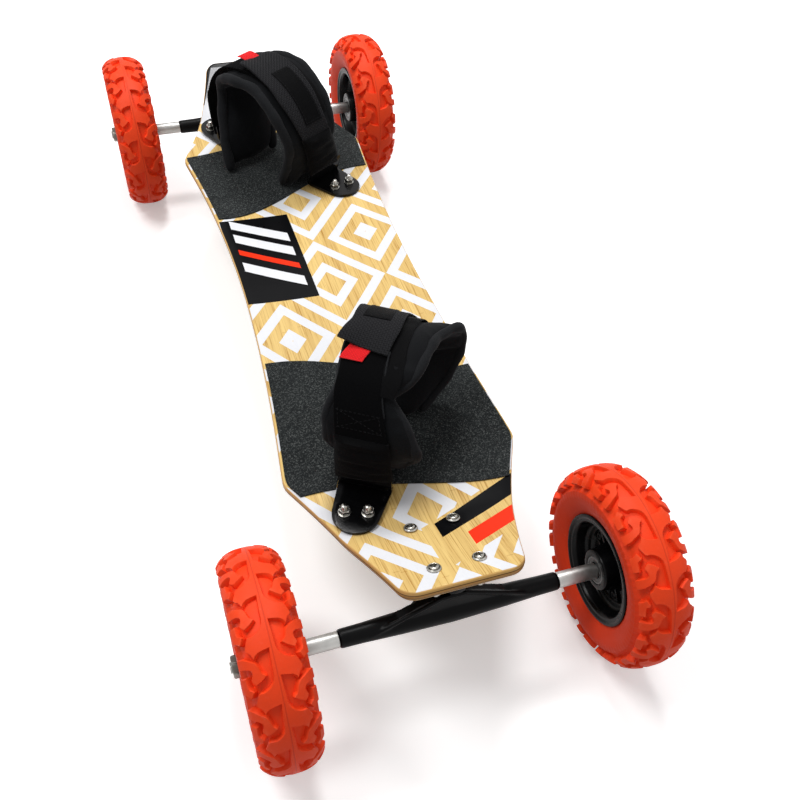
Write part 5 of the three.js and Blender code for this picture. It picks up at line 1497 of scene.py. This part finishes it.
# edges along the arch: travel along it (-1 left plate, 0 top, 1 right plate) and place along the foot in mm
edgeLines = {
    "front": {
        "padToe": [(-1, -48), (-0.75, -50), (-0.6, -51), (-0.516, -53.7), (-0.42, -52), (-0.34, -47), (-0.2, -48),
                   (0, -50), (0.15, -48), (0.45, -43), (0.7, -40), (0.85, -37), (1, -34)],
        "padHeel": [(-1, 25), (-0.85, 34), (-0.73, 41), (-0.66, 42), (-0.58, 37), (-0.5, 31), (-0.42, 22),
                    (-0.37, 13), (-0.33, 7), (-0.29, 10), (-0.25, 19), (-0.14, 27.5), (0, 31), (0.18, 34),
                    (0.3, 42), (0.4, 50), (0.55, 54), (0.7, 53), (0.85, 45), (0.93, 34), (1, 24)],
        "lower": [[(-1, -34.5), (-0.888, -34.7), (-0.634, -35), (-0.42, -41.9), (-0.347, -44.5), (-0.242, -44.3),
                   (-0.108, -46.8), (0.2, -47)],
                  [(-1, 17), (-0.805, 18), (-0.572, 11.6), (-0.397, 2.1), (-0.339, -1.4), (-0.244, -3.3),
                   (-0.111, -5.4), (0.2, -3)]],
        "upper": [[(-0.12, -54), (-0.079, -53.8), (0.093, -48.5), (0.363, -51), (0.7, -34), (1, -18)],
                  [(-0.12, -6), (0.08, -1.7), (0.363, -3), (0.7, 15), (1, 34)]],
        "tape": [[(-0.33, -2.6), (-0.24, -4.6), (-0.11, -7), (0, -10), (0.6, -38)],
                 [(-0.33, 9), (-0.25, 12.4), (-0.174, 11.8), (-0.029, 8.9), (0.14, 8.8), (0.365, 12), (0.6, 18)]],
        "upperStart": [(0, -0.079), (1, -0.114)], "sleeveStarts": (-0.425, 0.62),
        "sleeveEnds": ((-0.905, -0.85), (0.90, 0.90)), "patch": (0.13, 0.52, -40, -14),
        "tab": (-11.5, 10), "tabLean": -9.0, "tabRise": 0.6, "tabShift": 0.0, "tapeLift": 5.2,
        "fold": ((30, 30), (50, 20)), "foldFoot": (8, 43), "foldFrom": (0.6, 0.6), "lift": 9.0,
    },
    "rear": {
        "padToe": [(-1, -73), (-0.85, -69), (-0.7, -58), (-0.6, -50), (-0.5, -45), (-0.4, -46.5), (-0.3, -51),
                   (-0.2, -55), (-0.05, -59.5), (0.1, -54.5), (0.26, -58), (0.43, -58), (0.6, -54.5),
                   (0.8, -50), (1, -45)],
        "padHeel": [(-1, 14), (-0.7, 30), (-0.4, 38), (-0.07, 39.6), (0.08, 40.8), (0.25, 37), (0.44, 35),
                    (0.61, 31), (0.8, 28), (1, 25)],
        "lower": [[(-1, -34), (-0.6, -38), (-0.15, -40), (0.2, -40)],
                  [(-1, 18), (-0.6, 13), (-0.15, 10), (0.2, 10)]],
        "upper": [[(-0.15, -42.5), (-0.06, -42.5), (0.129, -40.5), (0.33, -43.2), (0.514, -37.8),
                   (0.621, -32.2), (1, -18)],
                  [(-0.15, 14.5), (-0.098, 14.5), (0.159, 13.9), (0.477, 9.6), (0.629, 12.2), (1, 34)]],
        "tape": [[(-0.33, -36), (0.6, -36)], [(-0.33, 17), (-0.2, 20), (0.08, 21), (0.44, 18), (0.6, 16)]],
        "upperStart": [(0, -0.06), (0.4, -0.105), (0.78, -0.151), (1, -0.10)], "sleeveStarts": (-0.45, 0.60),
        "sleeveEnds": ((-0.93, -0.93), (0.895, 0.85)), "patch": (0.118, 0.518, -23.5, 4),
        "tab": (-12, 9), "tabLean": 0.0, "tabRise": 6.5, "tabShift": -0.032, "tapeLift": 0.0,
        "fold": ((50, 50), (20, 20)), "foldFoot": (-10, 10), "foldFrom": (0.25, 0.6), "lift": 0.0,
    },
}


def tableAt(table, at, soften=0.03):
    # a value from a table, slightly smoothed
    stops, values = [p[0] for p in table], [p[1] for p in table]
    middle, back, ahead = (np.interp(at + move, stops, values) for move in (0, -soften, soften))
    return float((middle * 2 + back + ahead) / 4)


def placeOn(end, travel, foot, inset):
    spot = archPoint(travel, inset)
    spot.y = foot
    return inBinding(end, spot) * mm


def padSpot(end, travel, foot, depth):
    # the liner's feet are folded inwards above the grip
    lines, side = edgeLines[end], (0 if travel < 0 else 1)
    depth -= lines["lift"] * math.exp(-((travel - 0.42) / 0.17) ** 2) * smoothStep(foot, 16, 48)
    spot = archPoint(travel, depth)
    low, high = lines["fold"][side]
    reach = low + (high - low) * smoothStep(foot, *lines["foldFoot"])
    spot.x -= (-1 if travel < 0 else 1) * reach * smoothStep(abs(travel), lines["foldFrom"][side], 1.02)
    spot.y = foot
    spot.z = max(spot.z, 1.4)
    return inBinding(end, spot) * mm


def bandSection(thickness, rounding, columns=16):
    # (share of the half width, extra mm, share of the thickness, extra mm)
    r = min(thickness / 2, rounding)
    bow = [(1, -r, 0, 0), (1, -0.3 * r, 0, 0.3 * r), (1, 0, 0, r),
           (1, 0, 1, -r), (1, -0.3 * r, 1, -0.3 * r), (1, -r, 1, 0)]
    flat = spread(-1, 1, columns)[1:-1]
    return ([(s, 0, 0, 0) for s in flat] + bow + [(s, 0, 1, 0) for s in flat[::-1]]
            + [(-s, -e, d, f) for s, e, d, f in bow[::-1]])


def bandShape(name, end, start, stop, edges, inset, thickness, bulge=None, slants=(None, None), rounding=1.1):
    # a strap between two edge lines; the ends may be slanted; UVs are in metres
    steps = max(5, int(max(abs(stop - start), 0.02) / travelPerLength / 2.4))
    section = bandSection(thickness, rounding)
    points, places = [], []
    for part in spread(0, 1, steps):
        for s, aside, d, under in section:
            share = (s + 1) / 2
            first = tableAt(slants[0], share, 0) if slants[0] else start
            last = tableAt(slants[1], share, 0) if slants[1] else stop
            travel = first + (last - first) * part
            left, right = (tableAt(edge, travel) for edge in edges)
            foot = (left + right) / 2 + s * (right - left) / 2 + aside
            outward, inward = bulge(travel, share, part) if bulge else (0.0, 0.0)
            deep = inset(travel) if callable(inset) else inset
            deep += d * thickness + under - outward * (1 - d) + inward * d
            points.append(placeOn(end, travel, foot, deep))
            places.append((foot * mm, travel / travelPerLength * mm))
    count = len(section)
    obj = makeObject(name, points, gridFaces(steps + 1, count, True) + endFaces(steps + 1, count))
    layer = obj.data.uv_layers.new(name="cloth")
    for loop in obj.data.loops:
        layer.data[loop.index].uv = places[loop.vertex_index]
    return smoothShade(tidyMesh(obj, 0), 50)


def tubeShape(name, points, radii, count=10):
    # a round cord along points, its ends rounded off
    rings, turn = [], None
    for i, here in enumerate(points):
        ahead = (points[min(i + 1, len(points) - 1)] - points[max(i - 1, 0)]).normalized()
        turn = turn or ahead.orthogonal().normalized()
        turn = (turn - ahead * turn.dot(ahead)).normalized()
        square, radius = ahead.cross(turn), radii(i / (len(points) - 1))
        rings.append([here + (turn * math.cos(angle) + square * math.sin(angle)) * radius
                      for angle in aroundSteps(count)])
    for last, other in ((0, 1), (-1, -2)):
        middle, ring = points[last], rings[last]
        out = (middle - points[other]).normalized() * (ring[0] - middle).length
        caps = [[middle + out * far + (p - middle) * wide for p in ring] for far, wide in ((0.7, 0.72), (1, 0.25))]
        rings = caps[::-1] + rings if last == 0 else rings + caps
    obj = ringStack(name, rings)
    obj.data.shade_smooth()
    return obj


padSizes = {
    "thickness": 17.0, "edge": 10.0, "crown": 3.0, "roll": {"front": 4.7, "rear": 6.2}, "voxel": 0.0046,
    "swell": 0.005, "between": 2.2, "steps": 96, "columns": 26, "shrink": 0.6, "underStrap": 3.3, "underBoth": 6.0,
    "cloth": {"use_pressure": True, "uniform_pressure_force": 3.5, "quality": 5, "mass": 0.3,
              "tension_stiffness": 12, "compression_stiffness": 12, "bending_stiffness": 0.4},
}


def coverAt(end, travel):
    # what the straps cover here, and how deep they reach
    lines = edgeLines[end]
    if travel < lines["upperStart"][0][1] - 0.06:
        return *(tableAt(line, travel) for line in lines["lower"]), padSizes["underStrap"]
    left, right = (tableAt(line, travel) for line in lines["upper"])
    if travel < 0.2:
        left = min(tableAt(lines["lower"][0], travel), left)
    if travel < 0.6:
        return left, max(right, tableAt(lines["tape"][1], travel)), padSizes["underBoth"]
    return left, right, padSizes["underStrap"]


def padShape(end):
    lines, rings, shrink, roll = edgeLines[end], [], padSizes["shrink"], padSizes["roll"][end]
    thickest, thinnest = padSizes["thickness"], padSizes["edge"]
    for travel in spread(-1, 1, padSizes["steps"]):
        toe, heel = tableAt(lines["padToe"], travel) + shrink, tableAt(lines["padHeel"], travel) - shrink
        half, shift = (heel - toe) / 2, (heel + toe) / 2
        foot, fullness = smoothStep(abs(travel), 0.75, 1), 0.6 + 0.4 * smoothStep(1 - abs(travel), 0, 0.09)
        left, right, deep = coverAt(end, travel)
        outer, inner = [], []
        for share in spread(-1, 1, padSizes["columns"]):
            edge = abs(share) ** 3
            s = shift + (half - roll) * share
            outside = smoothStep(max(left - s, s - right), 0, 9)
            thickness = (thickest + (thinnest - thickest) * edge + padSizes["crown"] * (1 - share ** 2)) * fullness
            rest = deep + 0.6 - padSizes["between"] * outside + 5.0 * edge * (1 - foot) + shrink
            outer.append(padSpot(end, travel, s, rest))
            inner.append(padSpot(end, travel, s, rest + thickness - 2 * shrink))
        ring = list(outer)
        for a, b, way in ((outer[-1], inner[-1], 1), (inner[0], outer[0], -1)):
            middle, reach = (a + b) / 2, bindings[end]["foot"] * roll * fullness * mm * way
            ring += [middle + (a - middle) * math.cos(turn) + reach * math.sin(turn)
                     for turn in spread(0, math.pi, 6)[1:-1]]
            ring += inner[::-1] if way > 0 else []
        rings.append(ring)
    return ringStack(end + "Liner", rings)


def archPlace(end, point):
    # a point back to (travel, along the foot, depth below the straps' outer face)
    local = Vector(point) / mm
    flat = local - bindings[end]["middle"]
    u, v = flat.dot(bindings[end]["run"]), flat.dot(bindings[end]["foot"])
    z = (local.z - bindings[end]["floor"]) / arch["heightShare"][end]
    side, above = (-1 if u < 0 else 1), z - arch["spring"]
    if above < 0:
        down = 1 - z / arch["spring"]
        drawn = (arch["half"] - arch["base"]) * max(down, 0) ** 2
        return side * (1 - legShare + legShare * down), v, arch["half"] - drawn - abs(u)
    low, high = -20.0, 76.0
    for _ in range(22):
        middle = (low + high) / 2
        outside = (u / (arch["half"] - middle)) ** 2 + (above / (arch["rise"] - middle)) ** 2 > 1
        low, high = (low, middle) if outside else (middle, high)
    turn = math.atan2(abs(u) / (arch["half"] - low), above / (arch["rise"] - low))
    return side * turn / (math.pi / 2) * (1 - legShare), v, low


def puffUp(obj, seconds=20):
    # air pressure swells the cushion; how far a point may move is capped
    addModifier(obj, "remesh", "REMESH", mode="VOXEL", voxel_size=padSizes["voxel"])
    applyAll(obj)
    start = np.empty(len(obj.data.vertices) * 3)
    done = start.copy()
    obj.data.vertices.foreach_get("co", start)
    cloth = obj.modifiers.new("cloth", "CLOTH")
    cloth.collision_settings.use_collision = False
    cloth.settings.effector_weights.gravity = 0
    for key, value in padSizes["cloth"].items():
        setattr(cloth.settings, key, value)
    for number in range(1, seconds + 1):
        bpy.context.scene.frame_set(number)
    applyAll(obj)
    obj.data.vertices.foreach_get("co", done)
    start, done = start.reshape(-1, 3), done.reshape(-1, 3)
    length = np.linalg.norm(done - start, axis=1, keepdims=True)
    capped = start + (done - start) * np.minimum(1, padSizes["swell"] / np.maximum(length, 1e-9))
    obj.data.vertices.foreach_set("co", capped.reshape(-1))
    obj.data.update()
    bpy.context.scene.frame_set(1)


def fitUnderStrap(obj, end, floorGap=0.0008):
    # keeps the cushion inside the straps and off the grip, and creases it where it bends
    for vertex in obj.data.vertices:
        travel, foot, inset = archPlace(end, vertex.co)
        along = max(min(travel, 1), -1)
        left, right, deep = coverAt(end, along)
        away = max(left - foot, foot - right)
        need = (deep + 0.4) * (1 - smoothStep(away, 1.5, 9)) - 2.5 * smoothStep(away, 6, 12)
        if inset < need and abs(travel) < 1:
            vertex.co = placeOn(end, along, foot, need)
        elif inset < 14:
            crease = math.sin(travel * 61 + foot * 0.11 + math.sin(foot * 0.23) * 1.3)
            crease *= smoothStep(away, 2, 10) * smoothStep(abs(travel), 0.2, 0.5)
            outward = placeOn(end, along, foot, inset) - placeOn(end, along, foot, inset + 1)
            vertex.co += outward * (0.55 * crease)
        lowest = deckTop(vertex.co.x / mm, vertex.co.y / mm) * mm + 0.0016 + floorGap
        vertex.co.z = max(vertex.co.z, lowest)
    obj.data.update()


def makePads():
    for end in bindings:
        pad = padShape(end)
        puffUp(pad)
        fitUnderStrap(pad, end)
        addModifier(pad, "finer", "SUBSURF", levels=1, render_levels=1)
        applyAll(pad).data.shade_smooth()
        pad.name = end + "_linerPad"
        placePiece(pad, fabrics["pad"], "board", [end + "_binding_pad"])
        rolls, roll = [], padSizes["roll"][end]

        def uneven(share):
            return (roll + 0.35 * math.sin(share * 47) + 0.25 * math.sin(share * 83)) * mm

        for key, way in (("padToe", 1), ("padHeel", -1)):
            points = []
            for travel in spread(-0.97, 0.97, 120):
                foot = tableAt(edgeLines[end][key], travel) + way * roll * 0.92
                points.append(padSpot(end, travel, foot, 12.6 if abs(travel) < 0.8 else 11.6))
            rolls.append(tubeShape("roll", points, uneven, 14))
        placePiece(joinAll(end + "_linerRim", rolls), fabrics["rim"], "board")
        print(end, "pad vertices", len(pad.data.vertices))


makePads()
print("pads ready")


strapLooks = {
    "lowerThickness": 2.3, "tapeThickness": 1.1, "upperThickness": 2.5, "patchThickness": 1.0, "tabThickness": 1.4,
    "sleeveThickness": 3.6, "sleeveBulge": 4.2, "sleeveGrow": 1.6, "pipingRadius": 0.9,
    "stitch": 2.9, "stitchGap": 1.1, "threadRadius": 0.24, "stitchInset": 4,
}


def makeStitchRow():
    # short threads along lines, each lying along its line
    tree, given, out = newGroup("stitchRow", "GeometryNodeTree", {
        "Geometry": "Geometry", "Spacing": 0.004, "Length": 0.0029, "Radius": 0.0003, "Finish": "Material"},
        {"Geometry": "Geometry"})
    line = addNode(tree, "GeometryNodeMeshToCurve", {0: given["Geometry"]})
    even = addNode(tree, "GeometryNodeResampleCurve", {"Curve": line.outputs[0], "Length": given["Spacing"]},
                   mode="LENGTH")
    thread = addNode(tree, "GeometryNodeMeshUVSphere", {"Segments": 6, "Rings": 4, "Radius": 1.0})
    size = combineNode(tree, given["Radius"], given["Radius"], given["Length"] * 0.5)
    shaped = addNode(tree, "GeometryNodeTransform", {"Geometry": thread.outputs[0], "Scale": size})
    tangent = tree.nodes.new("GeometryNodeInputTangent").outputs[0]
    turn = addNode(tree, "FunctionNodeAlignRotationToVector", {"Vector": tangent}, axis="Z")
    copies = addNode(tree, "GeometryNodeInstanceOnPoints", {
        "Points": even.outputs[0], "Instance": shaped.outputs[0], "Rotation": turn.outputs[0]})
    real = addNode(tree, "GeometryNodeRealizeInstances", {0: copies.outputs[0]})
    finish = addNode(tree, "GeometryNodeSetMaterial", {"Geometry": real.outputs[0], "Material": given["Finish"]})
    feed(out, {"Geometry": finish.outputs[0]})
    return tree


def lineOn(end, places, inset):
    # a line over the arch through (travel, foot) places
    points = []
    for (t1, f1), (t2, f2) in zip(places, places[1:]):
        count = max(1, int(math.hypot((t2 - t1) / travelPerLength, f2 - f1) / 3))
        points += [placeOn(end, t1 + (t2 - t1) * i / count, f1 + (f2 - f1) * i / count, inset)
                   for i in range(count)]
    return points + [placeOn(end, *places[-1], inset)]


def edgePath(line, start, stop, inward):
    return [(travel, tableAt(line, travel) + inward) for travel in spread(start, stop, 16)]


def sewLines(name, lines, tree):
    points, edges = [], []
    for line in lines:
        edges += [(len(points) + i, len(points) + i + 1) for i in range(len(line) - 1)]
        points += line
    stitch = strapLooks["stitch"]
    obj = runNodes(makeObject(name, points, [], edges), tree, {
        "Spacing": (stitch + strapLooks["stitchGap"]) * mm, "Length": stitch * mm,
        "Radius": strapLooks["threadRadius"] * mm, "Finish": fabrics["thread"]})
    obj.data.shade_smooth()
    placePiece(obj, fabrics["thread"], "board")


def makeSleeve(end, side, start, ends):
    # the puffed cloth sleeve round a strap's foot, with soft cross folds and a rolled hem
    grown = [[(t, foot + way * strapLooks["sleeveGrow"]) for t, foot in line]
             for line, way in zip(edgeLines[end]["lower" if side < 0 else "upper"], (-1, 1))]

    def bulge(travel, share, part):
        full = max(0.0, 1 - abs(2 * share - 1) ** 3.2)
        full *= smoothStep(part, 0, 0.1) * (1 - 0.75 * smoothStep(part, 0.86, 1))
        fold = 0.75 * math.sin(part * 21 + share * 2.6 + side) + 0.45 * math.sin(part * 37 - share * 4.1)
        return (strapLooks["sleeveBulge"] + fold) * full, 2.2 * full * (1 - smoothStep(abs(travel), 0.78, 0.86))

    name = end + ("_left" if side < 0 else "_right") + "Sleeve"
    slants = (None, [(0, ends[0]), (1, ends[1])])
    obj = bandShape(name, end, start, ends[0], grown, -0.5, strapLooks["sleeveThickness"], bulge, slants, 1.8)
    placePiece(obj, fabrics["sleeve"], "board")


def makeStraps(end, stitches):
    lines = edgeLines[end]
    first, (left, right), (boxLeft, boxRight) = lines["upperStart"][0][1], lines["upper"], lines["lower"]
    dip = first - 10 * travelPerLength

    def addBand(title, key, fabric, start, stop, edges, inset, *more, slot="webbing", node=None):
        thickness = strapLooks[key + "Thickness"]
        band = bandShape(end + title, end, start, stop, edges, inset, thickness, *more)
        placePiece(band, fabrics[fabric], "board", [end + node] if node else ())

    def lowerInset(travel):
        return 0.1 + 2.9 * smoothStep(travel, dip - 30 * travelPerLength, dip)

    def tapeInset(travel):
        rise = lines["tapeLift"] * (1 - smoothStep(travel, -0.28, -0.02))
        return 5.2 - 2.2 * smoothStep(travel, 0.2, 0.3) - rise

    def flapLift(travel, share, part):
        # the free corner of the flap stands a little proud
        near = 1 - smoothStep(part, 0, 0.2)
        lift = 0.2 + near * (0.5 + 5.5 * (1 - smoothStep(share, 0, 0.55)))
        return lift, -lift

    addBand("_lowerStrap", "lower", "loop", -0.90, 0.16, lines["lower"], lowerInset, node="_lower_strap")
    addBand("_hookTape", "tape", "sleeve", -0.325, 0.5, lines["tape"], tapeInset)
    addBand("_upperStrap", "upper", "weave", first, 0.9, lines["upper"], 0.2, flapLift,
            (lines["upperStart"], None), node="_upper_strap")
    low, high, near, far = lines["patch"]
    addBand("_blankPatch", "patch", "patch", low, high, [[(low, near), (high, near)], [(low, far), (high, far)]],
            -0.75)
    middle = (tableAt(left, first) + tableAt(right, first)) / 2
    tabLeft, tabRight = (middle + reach + 2 for reach in lines["tab"])
    tabLow = first - 17 * travelPerLength + lines["tabShift"]
    tabHigh, lean = first + 6 * travelPerLength, lines["tabLean"]

    def tabInset(travel):
        return 1.2 - lines["tabRise"] * smoothStep(travel, first, tabLow)

    tabEdges = [[(tabLow, foot + lean), (tabHigh, foot)] for foot in (tabLeft, tabRight)]
    addBand("_pullTab", "tab", "tab", tabLow, tabHigh, tabEdges, tabInset, slot="red_tab", node="_pull_tab")
    lowStart, highStart = lines["sleeveStarts"]
    makeSleeve(end, -1, lowStart - 0.14, lines["sleeveEnds"][0])
    makeSleeve(end, 1, highStart, lines["sleeveEnds"][1])
    # seams: both edges of the upper strap, a crossed box on the lower strap and one round the patch
    top, bottom = lowStart - 0.004, lowStart - 0.092
    box = [(at, tableAt(line, at) + way * strapLooks["stitchInset"]) for at, line, way in (
        (top, boxLeft, 1), (top, boxRight, -1), (bottom, boxRight, -1), (bottom, boxLeft, 1), (top, boxLeft, 1))]
    low, high, near, far = low + 0.012, high - 0.012, near + 2, far - 2
    sewLines(end + "_stitches", [lineOn(end, path, inset) for path, inset in (
        (edgePath(left, first + 0.05, 0.6, 2.6), -0.1), (edgePath(right, first + 0.05, 0.6, -2.6), -0.1),
        (box, -0.1), (box[:3:2], -0.15), (box[1:4:2], -0.15),
        ([(low, near), (high, near), (high, far), (low, far), (low, near)], -0.85))], stitches)
    path = edgePath(boxRight, lowStart, first - 0.01, 0.6)
    piping = tubeShape(end + "_piping", lineOn(end, path, 1.6), lambda share: strapLooks["pipingRadius"] * mm, 8)
    placePiece(piping, fabrics["rim"], "board")


stitchRow = makeStitchRow()
for end in bindings:
    makeStraps(end, stitchRow)
print("straps ready")
